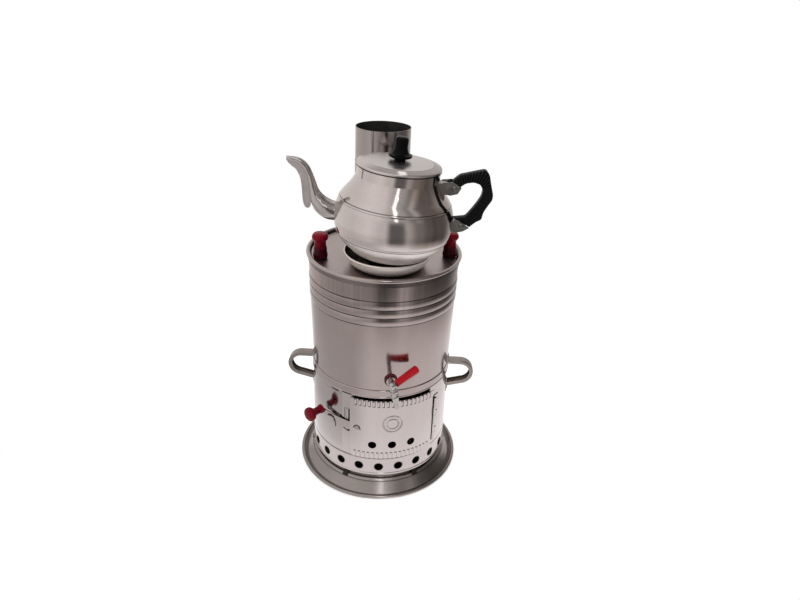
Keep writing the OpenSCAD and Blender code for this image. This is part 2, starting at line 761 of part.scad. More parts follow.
// The rolled wire rim, with a short turned-down collar over the wall
module tank_rim() color([0.78, 0.76, 0.75]) {
    rotate_extrude() translate(rim_c) circle(r = rim_bead_r, $fn = 32);
    spun([
        [tank_top_r + face_gap + 1, tank_z1 - 6], [tank_top_r + face_gap + 1, tank_z1 + 2]
    ], 0.8);
}

// A ledge inside the tank that the skirt of the lid stands on
ledge_z = lid_z - lid_skirt - face_gap;
lid_ledge_w = 2.6;

module lid_ledge() color([0.6, 0.58, 0.57]) difference() {
    spun([
        [tank_r(ledge_z - 5) - sheet - 0.1, ledge_z - 5], [tank_r(ledge_z) - sheet - 0.1, ledge_z],
        [lid_r - lid_ledge_w, ledge_z]
    ], 0.8);
    flue_place() translate([0, 0, ledge_z - 10]) cylinder(r = flue_r + face_gap, h = 20);
}

// ---- Flue and chimney ----
swage = 0.45;
insert_r = chimney_r - swage;
flue_r = insert_r + pipe_gap + flue_sheet;
flue_back = tank_top_r - flue_r - flue_in;
// The flue is narrower inside the tank, so that water reaches all round it
inner_flue_r = tank_bottom_r - sheet - flue_wall_gap - flue_back;
flue_z0 = tank_z0;
flue_z1 = tank_z1 + flue_up;
chimney_z0 = flue_z1 - chimney_socket;
chimney_z1 = flue_z1 + chimney_show;
// The flue widens below the lid, so that the lid lifts off over it
flue_step_z = lid_z - lid_skirt - 14;
stop_w = 1.4;
stop_h = 1.5;

module flue_place() rotate([0, 0, lid_turn]) translate([0, flue_back, 0]) children();

module tube(r, t, z0, z1) {
    translate([0, 0, z0]) difference() {
        cylinder(r = r, h = z1 - z0);
        translate([0, 0, -over]) cylinder(r = r - t, h = z1 - z0 + 2 * over);
    }
}

module flue_pipe() color([0.78, 0.76, 0.75]) flue_place() {
    spun([
        [inner_flue_r, flue_z0], [inner_flue_r, flue_step_z],
        [flue_r, flue_step_z + 5], [flue_r, flue_z1]
    ], flue_sheet);
    // A stop ring that the chimney pipe stands on
    tube(flue_r - flue_sheet / 2, flue_sheet / 2 + stop_w, chimney_z0 - stop_h, chimney_z0 - face_gap);
}

// The lower end of the chimney pipe is drawn in, so that it slips into the flue pipe
module chimney_pipe() color([0.8, 0.78, 0.78]) flue_place() spun([
    [insert_r, chimney_z0], [insert_r, flue_z1 + face_gap],
    [chimney_r, flue_z1 + face_gap + 0.6], [chimney_r, chimney_z1]
], pipe_sheet);

// ---- Lid ----
lid_bend = 1.6;
lid_top = lid_z + lid_sheet;
seat_z = lid_top + face_gap;
seat_in_r = seat_rim_r - 2 * seat_bead_r;
seat_top = seat_z + seat_h;
// The belly of the teapot leans near the flue pipe, and its seat lies under it
pot_y = flue_back - flue_r - pot_belly_r - pot_flue_gap;
seat_front = -pot_y - seat_back;
// The foot of the seat stays clear of the edge of the lid
seat_edge = 4;
seat_foot_r = min(seat_rim_r - seat_flare, lid_r - seat_edge - seat_front);
knob_reach = lid_r - knob_in;

module lid_frame() rotate([0, 0, lid_turn]) children();

module lid_plate() color([0.78, 0.76, 0.76]) lid_frame() difference() {
    spun([
        [lid_r, lid_z - lid_skirt], [lid_r, lid_top - lid_bend],
        [lid_r - lid_bend * 0.3, lid_top - lid_bend * 0.3], [lid_r - lid_bend, lid_top], [0, lid_top]
    ], lid_sheet);
    translate([0, flue_back, lid_z - lid_skirt - over])
        cylinder(r = flue_r + lid_flue_gap, h = lid_skirt + 4 * over);
    for (s = [-1, 1]) at_az(s * knob_az, knob_reach, lid_z - over)
        cylinder(r = knob_screw_r + seat_gap, h = 4);
    translate([0, -seat_front, lid_z - over]) {
        cylinder(r = steam_hole_r, h = 4);
        for (i = [0:5]) rotate([0, 0, i * 60]) translate([seat_foot_r * 0.5, 0, 0])
            cylinder(r = steam_hole_r, h = 4);
    }
}

module pot_seat() color([0.8, 0.78, 0.78]) lid_frame() translate([0, -seat_front, 0]) {
    spun(concat(
        [[seat_foot_r - 5, seat_z], [seat_foot_r, seat_z]],
        bez([seat_foot_r + 1, seat_z + 1.5], [seat_rim_r - 3.5, seat_z + seat_h * 0.35],
            [seat_rim_r - seat_bead_r * 1.6, seat_top - seat_bead_r * 1.4], 8)
    ), 0.8);
    rotate_extrude() translate([seat_rim_r - seat_bead_r, seat_top - seat_bead_r])
        circle(r = seat_bead_r, $fn = 24);
}

knob_profile = concat(
    [[0, 0], [knob_foot_r - 2.4, 0]],
    bez([knob_foot_r - 1.2, 0.6], [knob_foot_r + 0.6, knob_h * 0.1], [knob_foot_r - 1.4, knob_h * 0.26], 5),
    bez([knob_waist_r + 1.4, knob_h * 0.4], [knob_waist_r - 0.6, knob_h * 0.56],
        [knob_waist_r + 0.8, knob_h * 0.7], 5),
    bez([knob_head_r * 0.92, knob_h * 0.76], [knob_head_r * 1.1, knob_h * 0.85],
        [knob_head_r * 0.86, knob_h * 0.95], 6),
    bez([knob_head_r * 0.74, knob_h * 0.99], [knob_head_r * 0.4, knob_h], [0, knob_h], 3)
);
knob_screw_l = 16;

module lid_knob(s) lid_frame() at_az(s * knob_az, knob_reach, lid_top + seat_gap) difference() {
    rotate_extrude($fn = 64) polygon(knob_profile);
    translate([0, 0, -over]) cylinder(r = knob_screw_r + seat_gap, h = knob_screw_l + over + 1);
}
module lid_knob_left() color([0.6, 0.02, 0.06]) lid_knob(-1);
module lid_knob_right() color([0.6, 0.02, 0.06]) lid_knob(1);

module lid_knob_screws() color([0.7, 0.68, 0.67]) lid_frame()
    for (s = [-1, 1]) at_az(s * knob_az, knob_reach, lid_z - seat_gap) {
        translate([0, 0, -1.6]) cylinder(r = knob_screw_r + 1.6, h = 1.6);
        translate([0, 0, -0.5]) cylinder(r = knob_screw_r, h = knob_screw_l);
    }

// ---- Tap ----
tap_z = tank_z0 + tap_up;
tap_wall = tank_r(tap_z);
barrel_y = -tap_wall - tap_reach;
barrel_z0 = tap_z - barrel_down;
barrel_z1 = tap_z + barrel_up;
plug_z0 = tap_z - 4.4;
washer_t = 1.6;
flange_t = 3;
flange_r = washer_r - 2.4;
nut_t = 4.5;
washer_z_play = 0.35;

module tap_washer() color([0.35, 0.04, 0.06]) translate([0, -tap_wall - washer_z_play, tap_z])
    difference() {
        outward(washer_r, washer_t);
        translate([0, 1, 0]) outward(shank_r + seat_gap, washer_t + 2);
    }

module tap_inner_washer() color([0.35, 0.04, 0.06])
    translate([0, -tap_wall + sheet + washer_t + washer_z_play + 0.3, tap_z]) difference() {
        outward(washer_r, washer_t);
        translate([0, 1, 0]) outward(shank_r + seat_gap, washer_t + 2);
    }

tap_nut_y = -tap_wall + sheet + washer_t + washer_z_play + 0.35;

module tap_nut() color([0.8, 0.7, 0.45]) translate([0, tap_nut_y + nut_t, tap_z]) difference() {
    rotate([90, 0, 0]) cylinder(r = washer_r, h = nut_t, $fn = 6);
    translate([0, 1, 0]) outward(shank_r + seat_gap, nut_t + 2);
}

shank_in = 12;
nozzle_z0 = barrel_z0 - nozzle_l;

neck_r = plug_r + 0.9;

// The whole tap is screwed home a little past upright
module tap_frame() translate([0, barrel_y, tap_z]) rotate([0, -tap_roll, 0]) translate([0, 0, -tap_z])
    children();

// Outer shape of the barrel from the mouth up: nozzle, ring, neck and collar
barrel_profile = [
    [0, nozzle_z0], [nozzle_r, nozzle_z0], [nozzle_r + 1.7, barrel_z0],
    [barrel_r - 0.5, barrel_z0 + 0.8], [barrel_r - 0.2, barrel_z0 + 2], [barrel_r - 0.5, barrel_z0 + 3.2],
    [neck_r, barrel_z0 + 4.4], [neck_r, barrel_z1 - 3.4],
    [barrel_r - 0.3, barrel_z1 - 2.4], [barrel_r, barrel_z1 - 1.2], [barrel_r - 0.3, barrel_z1], [0, barrel_z1]
];

module tap_body() color([0.85, 0.84, 0.84]) difference() {
    union() {
        translate([0, -tap_wall + shank_in, tap_z]) outward(shank_r, tap_reach + shank_in);
        translate([0, -tap_wall - washer_z_play - washer_t - seat_gap, tap_z]) outward(flange_r, flange_t);
        tap_frame() rotate_extrude() polygon(barrel_profile);
    }
    translate([0, -tap_wall + shank_in + 1, tap_z]) outward(water_r, tap_reach + shank_in + 1);
    tap_frame() translate([0, 0, plug_z0]) cylinder(r = plug_r + plug_gap, h = 40);
    tap_frame() translate([0, 0, nozzle_z0 - over]) cylinder(r = water_r, h = 40);
}

head_z = barrel_z1 + 0.3;
head_r = barrel_r - 0.7;

// Direction of the side port while the tap is shut
port_az = -90;

// The plug is hollow from below, with a side port that meets the shank when the tap is open
module tap_plug() color([0.85, 0.84, 0.84]) difference() {
    tap_frame() difference() {
        union() {
            translate([0, 0, plug_z0 + 0.1]) cylinder(r = plug_r, h = head_z - plug_z0);
            rotate_extrude() polygon(concat(
                [[0, head_z], [head_r, head_z], [head_r, dome_z], [head_r - 0.4, dome_z + 0.2]],
                arc(0, head_z + head_h - head_r + 0.4, head_r - 0.4, 6, 90, 8)
            ));
        }
        translate([0, 0, plug_z0 - over]) cylinder(r = port_r, h = tap_z - plug_z0 + over);
        translate([0, 0, tap_z]) rotate([0, 0, port_az]) outward(port_r, 10);
    }
    lever_frame() outward(lever_r + seat_gap, 14);
}

port_r = water_r - 0.4;
lever_z = head_z + 7;
dome_z = head_z + 8.7;
lever_r = 2;
lever_l = 30;
lever_in = 1.2;
grip_from = head_r + 1;

module lever_frame() tap_frame() translate([0, 0, lever_z]) rotate([0, 0, lever_az])
    rotate([-lever_rise, 0, 0]) children();

module tap_lever() color([0.8, 0.78, 0.78]) lever_frame()
    translate([0, -lever_in, 0]) outward(lever_r, lever_l);

grip_profile = concat(
    [[0, 0], [grip_r - 1.4, 0], [grip_r - 1, 0.8]],
    bez([grip_r - 0.6, grip_l * 0.4], [grip_r, grip_l * 0.8], [grip_r, grip_l - 3], 4),
    bez([grip_r, grip_l - 2.4], [grip_r - 0.4, grip_l], [grip_r - 2.6, grip_l], 4),
    [[0, grip_l]]
);

module tap_grip() color([0.72, 0.03, 0.05]) lever_frame() difference() {
    translate([0, -grip_from, 0]) turned(grip_profile);
    outward(lever_r + seat_gap, lever_in + lever_l + 0.1);
}

// ---- Side handles ----
handle_top = tank_z0 - handle_drop;
handle_low = handle_top - handle_h;
handle_root = fire_bottom_r;
handle_out = handle_root + handle_reach;
// Radius of the bend that meets the level top, the outermost line and the sloping arm
bend_k = 1 / cos(handle_slope);
bend_r = (handle_h - tan(handle_slope) * (handle_out - handle_root)) /
    (1 + bend_k - tan(handle_slope));
bend_c = [handle_out - bend_r, handle_top - bend_r];
quarter = 90;
plate_t = 1;
// The outline starts inside the wall and is cut back to the foot plates
handle_in = handle_root - 4.4;

// Outline of the handle at a depth inside its outer face
function handle_path(d) = concat(
    [[handle_in, handle_top - d]],
    arc(bend_c.x, bend_c.y, bend_r - d, quarter, handle_slope - quarter, 16),
    [[handle_in, handle_low + d * bend_k - (handle_root - handle_in) * tan(handle_slope)]]
);

module loop_slab(d, w) {
    rotate([90, 0, 0]) translate([0, 0, -w / 2]) linear_extrude(w)
        polygon(concat(handle_path(0), [for (i = [len(handle_path(d)) - 1:-1:0]) handle_path(d)[i]]));
}

plate_w = handle_w + 3;
plate_h = 18;
upper_plate_z0 = band_z0 + 2.1;
upper_plate_z1 = band_z0 + band_h - 0.5;
lower_plate_z1 = handle_low + handle_t + 3;
lower_plate_z0 = lower_plate_z1 - plate_h;
rivet_head_r = rivet_r + 0.6;
// The upper rivets lie inside the channel, the lower ones under its arm
upper_rivet_z = handle_top - handle_sheet - rivet_head_r - 0.2;
lower_rivet_z = lower_plate_z0 + 4.4;
rivet_side = 3;
upper_plate_r = band_r + seat_gap;
lower_plate_r = fire_r(lower_plate_z0) + seat_gap;

// The channel is bent from sheet: an outer web and two flanges, ending on the foot plates
module side_handle() difference() {
    union() {
        loop_slab(handle_sheet, handle_w);
        for (s = [-1, 1]) translate([0, s * (handle_w - handle_sheet) / 2, 0])
            loop_slab(handle_t, handle_sheet);
    }
    translate([0, 0, upper_plate_z0 - 20]) cylinder(r = upper_plate_r + plate_t + seat_gap, h = 60);
    translate([0, 0, lower_plate_z0 - 20]) cylinder(r = lower_plate_r + plate_t + seat_gap, h = 60);
}

module left_handle() color([0.66, 0.64, 0.62]) rotate([0, 0, -handle_az - 90 + handle_turn]) side_handle();
module right_handle() color([0.66, 0.64, 0.62]) rotate([0, 0, handle_az - 90 + handle_turn]) side_handle();

module rivet_pair(s, z) for (k = [-1, 1])
    at_az(s * handle_az + handle_turn + k * asin(rivet_side / fire_top_r), fire_top_r - drill_in, z)
        children();
module upper_rivets(s) rivet_pair(s, upper_rivet_z) children();
module lower_rivets(s) rivet_pair(s, lower_rivet_z) children();

// One curved foot plate, between two heights
module foot_plate(a, r, z0, z1) {
    half = asin(plate_w / 2 / r);
    sector(a - half, a + half) translate([r, z0]) square([plate_t, z1 - z0]);
}

module handle_plates() color([0.66, 0.64, 0.62]) difference() {
    for (s = [-1, 1]) {
        foot_plate(s * handle_az + handle_turn, upper_plate_r, upper_plate_z0, upper_plate_z1);
        foot_plate(s * handle_az + handle_turn, lower_plate_r, lower_plate_z0, lower_plate_z1);
    }
    for (s = [-1, 1]) {
        upper_rivets(s) outward(rivet_r + seat_gap, drill_l);
        lower_rivets(s) outward(rivet_r + seat_gap, drill_l);
    }
}

// A rivet whose shank starts inside the wall and whose head lies on a foot plate
module plate_rivet(r0, r1) {
    translate([0, fire_top_r - drill_in - r0, 0]) outward(rivet_r, r1 - r0 + 0.5);
    translate([0, fire_top_r - drill_in - r1 - seat_gap, 0]) outward(rivet_head_r, 1.1, rivet_r + 0.2);
}

module handle_rivets() color([0.75, 0.73, 0.72]) for (s = [-1, 1]) {
    upper_rivets(s) plate_rivet(band_r - band_sheet - sheet - 1, upper_plate_r + plate_t);
    lower_rivets(s) plate_rivet(fire_r(lower_rivet_z) - sheet - 0.6, lower_plate_r + plate_t);
}

// ---- Teapot ----
pot_slope = (0.62 * pot_belly_r + 0.38 * pot_base_r - pot_base_r) / 20;
cone_top = 20;
cone_r = pot_base_r + pot_slope * cone_top;
pot_reach_y = -seat_front - pot_y;
pot_reach_x = pot_side + pot_slope * seat_in_r * sin(pot_tilt);
pot_reach = norm([pot_reach_x, pot_reach_y]);
pot_sink = (seat_in_r - pot_reach - pot_base_r - pot_seat_gap * norm([1, pot_slope])) / pot_slope;
pot_z = seat_top - seat_bead_r - pot_sink;

module pot_frame() lid_frame() translate([pot_side, pot_y, pot_z])
    rotate([0, 0, pot_turn]) rotate([0, pot_tilt, 0]) children();

shoulder_r = pot_neck_r + 0.5 * (pot_belly_r - pot_neck_r);
neck_z = pot_h - collar_h;
seam_out = 0.5;
pot_path = concat(
    [[0, 0], [pot_base_r - 1.5, 0], [pot_base_r, 0.8]],
    bez([cone_r, cone_top], [pot_belly_r, pot_belly_z - 22.6], [pot_belly_r, pot_belly_z], 10),
    [for (p = bez([pot_belly_r, pot_belly_z], [pot_belly_r, pot_belly_z + 20],
        [shoulder_r, neck_z - 21], 10)) if (p.y > pot_belly_z) p],
    [for (p = bez([shoulder_r, neck_z - 21], [pot_neck_r + 3.6, neck_z - 10],
        [pot_neck_r, neck_z], 8)) if (p.y > neck_z - 21) p],
    [[pot_neck_r, pot_h]]
);

function pot_r_at(z, p = pot_path, i = 1) =
    i >= len(p) - 1 ? pot_neck_r :
    p[i].y <= z && p[i + 1].y > z ?
        p[i].x + (p[i + 1].x - p[i].x) * (z - p[i].y) / (p[i + 1].y - p[i].y) :
        pot_r_at(z, p, i + 1);

// A rolled seam line standing a little proud of the wall
module pot_seam(z) {
    rotate_extrude() translate([pot_r_at(z) - 0.6, z]) circle(r = 1, $fn = 20);
}

// Solid that fills the teapot out to its outer face, with a clearance
module pot_fill(gap) {
    rotate_extrude() polygon(concat([[0, pot_bead_z - 20], [pot_r_at(pot_bead_z - 20) + gap, pot_bead_z - 20]],
        [for (p = pot_path) if (p.y > pot_bead_z - 20) p + [gap, 0]], [[0, pot_h]]));
}

// Places of the rivets that hold the handle, as [outwards, up]
upper_pin = [pot_neck_r + 19.9, neck_z - 8];
lower_pin = [pot_belly_r + 10.5, pot_belly_z - 2.3];
upper_wall_z = neck_z - 9;
lower_wall_z = pot_belly_z - 3;
wall_rivet_r = 1.5;
pin_r = 2;
upper_web_x = pot_r_at(upper_wall_z) + 6;
lower_web_x = pot_belly_r + 3.2;

module pot_body() color([0.8, 0.78, 0.78]) pot_frame() difference() {
    union() {
        spun(pot_path, pot_sheet);
        pot_seam(pot_seam_z);
        pot_seam(pot_bead_z);
    }
    // Strainer holes behind the spout
    for (k = [-1, 1], j = [-1, 1])
        translate([-pot_belly_r - 5, k * 3.6, spout_z + j * 3.6]) rotate([0, 90, 0])
            cylinder(r = 2.4, h = 20, $fn = 32);
    for (z = [upper_wall_z, lower_wall_z]) wall_drill(z);
}

// A hole for a wall rivet, on through the bracket's web
module wall_drill(z) {
    translate([pot_neck_r - 6, 0, z]) rotate([0, 90, 0])
        cylinder(r = wall_rivet_r + seat_gap, h = lower_web_x - pot_neck_r + 12, $fn = 32);
}

// The spout's axis as [outwards, up] from the belly, with the outer radius at each point,
// drawn for a spout of a given rise and scaled to the real one
spout_z = pot_belly_z;
spout_scale = spout_rise / 62.4;
spout_shape = [
    [[-3.5, -1], 12.8], [[4.6, -0.4], 13.2], [[11.2, 2], 13], [[18, 7.2], 11.8],
    [[24, 15.5], 9], [[27.9, 24.5], 6.4], [[30.9, 35], 5], [[34.8, 45], 4.5],
    [[40.1, 54.2], 4.5], [[47.1, 59.8], 4.3], [[55.6, 62], 3.7], [[64.6, 62.4], 3.1]
];
spout_pts = [for (p = spout_shape) p * spout_scale];
spout_sides = 16;
spout_wall = 0.9;
spout_last = len(spout_pts) - 1;
function spout_dir(i) =
    unit(spout_pts[min(i + 1, spout_last)][0] - spout_pts[max(i - 1, 0)][0]);
function spout_ring(i, inset, push) =
    let (d = spout_dir(i), n = [-d.y, d.x], c = spout_pts[i][0] + d * push, r = spout_pts[i][1] - inset)
    [for (k = [0:spout_sides - 1]) let (a = 360 * k / spout_sides)
        [-(pot_belly_r + c.x + n.x * r * cos(a)), r * sin(a), spout_z + c.y + n.y * r * cos(a)]];

// A smooth tube through all points of the spout; the ends can be pushed outwards
module swept(inset, push) {
    rings = concat([spout_ring(0, inset, -push)], [for (i = [1:spout_last - 1]) spout_ring(i, inset, 0)],
        [spout_ring(spout_last, inset, push)]);
    polyhedron(
        points = [for (g = rings, p = g) p],
        faces = concat(
            [[for (k = [0:spout_sides - 1]) k]],
            [[for (k = [spout_sides - 1:-1:0]) spout_last * spout_sides + k]],
            [for (j = [0:spout_last - 1], k = [0:spout_sides - 1]) let (q = (k + 1) % spout_sides)
                [j * spout_sides + q, j * spout_sides + k, (j + 1) * spout_sides + k,
                    (j + 1) * spout_sides + q]]
        )
    );
}

fin_t = 6;
// Outline of the flat fin under the spout, as [outwards, up] from the belly
fin_outline = [
    [63.1, 59.6], [57, 54.6], [51.1, 50.3], [47.4, 44.4], [44.7, 38.2], [42.6, 27], [41.2, 14.6],
    [39.6, 6], [37.3, 1.7], [35, 0.6], [33.2, 1.7], [32.2, 5.1], [32.4, 18], [33.4, 30], [37, 43],
    [43, 52.6], [50, 58.6]
];

module pot_spout() color([0.76, 0.75, 0.75]) pot_frame() difference() {
    union() {
        swept(0, 0);
        translate([-pot_belly_r, 0, spout_z]) rotate([90, 0, 0]) translate([0, 0, -fin_t / 2])
            linear_extrude(fin_t) polygon([for (p = fin_outline) [-p.x, p.y] * spout_scale]);
    }
    swept(spout_wall, 3);
    pot_fill(seat_gap);
}

// ---- Teapot handle ----
cheek_t = 1;
cheek_off = pot_grip_t / 2 + seat_gap;

// A flat shape in the plane of the handle, between two sideways distances
module in_plane(y0, y1, outline) {
    translate([0, y1, 0]) rotate([90, 0, 0]) linear_extrude(y1 - y0) polygon(outline);
}

module cheeks(outline, pin) {
    for (s = [-1, 1]) difference() {
        in_plane(s > 0 ? cheek_off : -cheek_off - cheek_t, s > 0 ? cheek_off + cheek_t : -cheek_off, outline);
        translate([pin.x, 20, pin.y]) rotate([90, 0, 0]) cylinder(r = pin_r + seat_gap, h = 40, $fn = 32);
    }
}

// Both brackets are bent channels: a web on the wall and a cheek on either side of the handle
module bracket(web, outline, pin, wall_z) pot_frame() difference() {
    union() {
        cheeks(outline, pin);
        in_plane(-cheek_off - cheek_t, cheek_off + cheek_t, web);
    }
    pot_fill(seat_gap);
    wall_drill(wall_z);
}

upper_cheek = [for (p = [[-16, -8], [-16, 7], [-8, 8], [-3.5, 9.2], [9, 2.6], [5, -6], [-4, -9]])
    upper_pin + p];
lower_cheek = [for (p = [[-10, -9], [-10, 8], [-5, 8.4], [11.4, -1.2], [4, -6.6], [-5, -9.6]]) lower_pin + p];

module pot_upper_bracket() color([0.72, 0.7, 0.7]) bracket([
    [pot_neck_r - 2, upper_wall_z - 7], [upper_web_x, upper_wall_z - 7],
    [upper_web_x, upper_wall_z + 7], [pot_neck_r - 2, upper_wall_z + 7]
], upper_cheek, upper_pin, upper_wall_z);

module pot_lower_bracket() color([0.72, 0.7, 0.7]) bracket([
    [pot_belly_r - 4, lower_wall_z - 8], [lower_web_x, lower_wall_z - 8],
    [lower_web_x, lower_wall_z + 7], [pot_belly_r - 4, lower_wall_z + 7]
], lower_cheek, lower_pin, lower_wall_z);

// Outline of the moulded handle: outer side downwards, then inner side upwards
grip_outer = [
    [-3.8, 8.5], [5.2, 18], [15.5, 21.2], [26.6, 24.9], [37.7, 28.2], [43.4, 22.1], [48, 8.1],
    [52.2, -3.5], [52.2, -10.5], [47.7, -18.9], [43.4, -28.3], [42.5, -38.2], [34.7, -43.2], [27.3, -51.2]
];
grip_inner = [
    [17.8, -45], [10.6, -44.4], [6.5, -39.9], [20.7, -37], [27.6, -26.4], [33.5, -16], [37.2, -7.7],
    [37.8, 1], [32.8, 8.2], [24, 10.3], [14.3, 7.9], [8.4, 3], [2, -4.4], [-4, -5.6], [-6.6, 2]
];

// The outline is drawn for this place of the lower pin from the upper one, and follows the real place
grip_span = [15.7, -49.3];
function grip_place(p) =
    upper_pin + p + (lower_pin - upper_pin - grip_span) * max(0, min(1, p.y / grip_span.y));

module pot_handle() color([0.05, 0.05, 0.05]) pot_frame() difference() {
    in_plane(-pot_grip_t / 2, pot_grip_t / 2, [for (p = concat(grip_outer, grip_inner)) grip_place(p)]);
    for (pin = [upper_pin, lower_pin])
        translate([pin.x, 20, pin.y]) rotate([90, 0, 0]) cylinder(r = pin_r + seat_gap, h = 40, $fn = 32);
    pot_fill(0.8);
}

module cross_pin(pin) {
    half = cheek_off + cheek_t;
    translate([pin.x, half + 1.2, pin.y]) rotate([90, 0, 0]) cylinder(r = pin_r, h = 2 * half + 2.4, $fn = 32);
    for (s = [-1, 1]) translate([pin.x, s * (half + seat_gap), pin.y]) rotate([s * -90, 0, 0])
        cylinder(r1 = pin_r + 1.6, r2 = pin_r + 0.6, h = 1.2, $fn = 32);
}

module wall_pin(x0, x1, z) {
    translate([x0, 0, z]) rotate([0, 90, 0]) cylinder(r = wall_rivet_r, h = x1 - x0 + 0.6, $fn = 32);
    translate([x1 + seat_gap, 0, z]) rotate([0, 90, 0]) cylinder(r = wall_rivet_r + 1.3, h = 0.8, $fn = 32);
}

module pot_rivets() color([0.75, 0.73, 0.72]) pot_frame() {
    cross_pin(upper_pin);
    cross_pin(lower_pin);
    wall_pin(pot_r_at(upper_wall_z) - pot_sheet - 1, upper_web_x, upper_wall_z);
    wall_pin(pot_belly_r - pot_sheet - 0.8, lower_web_x, lower_wall_z);
}

// ---- Teapot lid ----
pot_lid_sheet = 0.8;
pot_lid_bend = 2.6;
pot_lid_r = pot_neck_r + pot_lid_play + pot_lid_sheet;
// The inside of the bend rests on the outer edge of the collar
lid_contact = pot_lid_bend - pot_lid_sheet - pot_lid_play;
pot_lid_c = [pot_lid_r - pot_lid_bend,
    pot_h + face_gap - sqrt(pow(pot_lid_bend - pot_lid_sheet, 2) - pow(lid_contact, 2))];
pot_lid_top = pot_lid_c.y + pot_lid_bend + pot_lid_rise;
pot_lid_path = concat(
    [[pot_lid_r, pot_lid_c.y - 2.4]],
    arc(pot_lid_c.x, pot_lid_c.y, pot_lid_bend, 0, 66, 5),
    [[pot_lid_c.x * 0.79 + 1, pot_lid_top - pot_lid_rise * 0.29]],
    bez([pot_lid_c.x * 0.79 - 1, pot_lid_top - pot_lid_rise * 0.22], [pot_lid_c.x * 0.5, pot_lid_top - 0.1],
        [11, pot_lid_top], 6),
    [[0, pot_lid_top]]
);

module pot_lid() color([0.8, 0.78, 0.78]) pot_frame() difference() {
    spun(pot_lid_path, pot_lid_sheet);
    translate([0, 0, pot_lid_top - 5]) cylinder(r = knob_screw_r + seat_gap, h = 10, $fn = 32);
}

pot_knob_stem = pot_knob_r * 0.6;
pot_knob_profile = concat(
    [[0, 0], [pot_knob_stem - 1.8, 0], [pot_knob_stem - 1.2, pot_knob_h * 0.087]],
    bez([pot_knob_stem - 0.6, pot_knob_h * 0.1], [pot_knob_r, pot_knob_h * 0.113],
        [pot_knob_r, pot_knob_h * 0.2], 4),
    bez([pot_knob_r - 0.2, pot_knob_h * 0.253], [pot_knob_stem + 1.4, pot_knob_h * 0.287],
        [pot_knob_stem + 0.4, pot_knob_h * 0.42], 6),
    [[pot_knob_stem, pot_knob_h * 0.883]],
    bez([pot_knob_stem - 0.1, pot_knob_h * 0.947], [pot_knob_stem - 1, pot_knob_h],
        [pot_knob_stem * 0.5, pot_knob_h], 4),
    [[0, pot_knob_h]]
);
pot_screw_l = 12;

module pot_knob() color([0.05, 0.05, 0.05]) pot_frame() difference() {
    translate([0, 0, pot_lid_top + seat_gap]) rotate_extrude($fn = 64) polygon(pot_knob_profile);
    translate([0, 0, pot_lid_top - 1]) cylinder(r = knob_screw_r + seat_gap, h = pot_screw_l, $fn = 32);
}

module pot_knob_screw() color([0.7, 0.68, 0.67]) pot_frame() {
    translate([0, 0, pot_lid_top - pot_lid_sheet - seat_gap - 1.4])
        cylinder(r = knob_screw_r + 1.6, h = 1.4, $fn = 32);
    translate([0, 0, pot_lid_top - pot_lid_sheet - 1])
        cylinder(r = knob_screw_r, h = pot_screw_l - 0.5, $fn = 32);
}

base_tray();
foot_ring();
foot_tabs();
firebox_shell();
grate_ledge();
fire_grate();
door_frame_strip();
latch_catch();
hinge_leaf();
hinge_pin();
door_panel();
latch_rivet();
latch_strap();
latch_knob();
latch_knob_screw();
seam_band();
tank_floor();
tank_shell();
tank_rim();
lid_ledge();
flue_pipe();
chimney_pipe();
lid_plate();
pot_seat();
lid_knob_left();
lid_knob_right();
lid_knob_screws();
tap_washer();
tap_inner_washer();
tap_nut();
tap_body();
tap_plug();
tap_lever();
tap_grip();
left_handle();
right_handle();
handle_plates();
handle_rivets();
pot_body();
pot_spout();
pot_upper_bracket();
pot_lower_bracket();
pot_handle();
pot_rivets();
pot_lid();
pot_knob();
pot_knob_screw();
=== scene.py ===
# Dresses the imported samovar: smooth turned pieces, procedural metals, studio light and camera.
# Paths are in millimetres. An azimuth is in degrees from the tap at -Y, positive towards +X.
import bpy
import bmesh
import math
from mathutils import Matrix, Vector


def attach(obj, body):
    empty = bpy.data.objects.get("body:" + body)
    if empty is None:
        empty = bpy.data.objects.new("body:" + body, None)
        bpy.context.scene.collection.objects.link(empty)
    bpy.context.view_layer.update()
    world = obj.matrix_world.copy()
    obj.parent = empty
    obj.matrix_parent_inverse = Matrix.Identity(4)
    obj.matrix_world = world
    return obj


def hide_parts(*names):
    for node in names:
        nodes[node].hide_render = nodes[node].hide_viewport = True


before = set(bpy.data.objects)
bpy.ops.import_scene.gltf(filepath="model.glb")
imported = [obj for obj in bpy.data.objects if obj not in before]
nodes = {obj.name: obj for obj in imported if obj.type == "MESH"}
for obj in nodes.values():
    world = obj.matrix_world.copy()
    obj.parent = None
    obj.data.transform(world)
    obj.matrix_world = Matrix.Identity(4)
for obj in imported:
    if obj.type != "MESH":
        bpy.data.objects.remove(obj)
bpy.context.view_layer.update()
MM = 0.001


def deg(a):
    return math.radians(a)


def shift(x=0, y=0, z=0):
    return Matrix.Translation((x * MM, y * MM, z * MM))


def turn(a, axis="Z"):
    return Matrix.Rotation(deg(a), 4, axis)


def at_az(a, r=0, z=0):
    """Local -Y points outwards at an azimuth."""
    return turn(a) @ shift(0, -r, z)


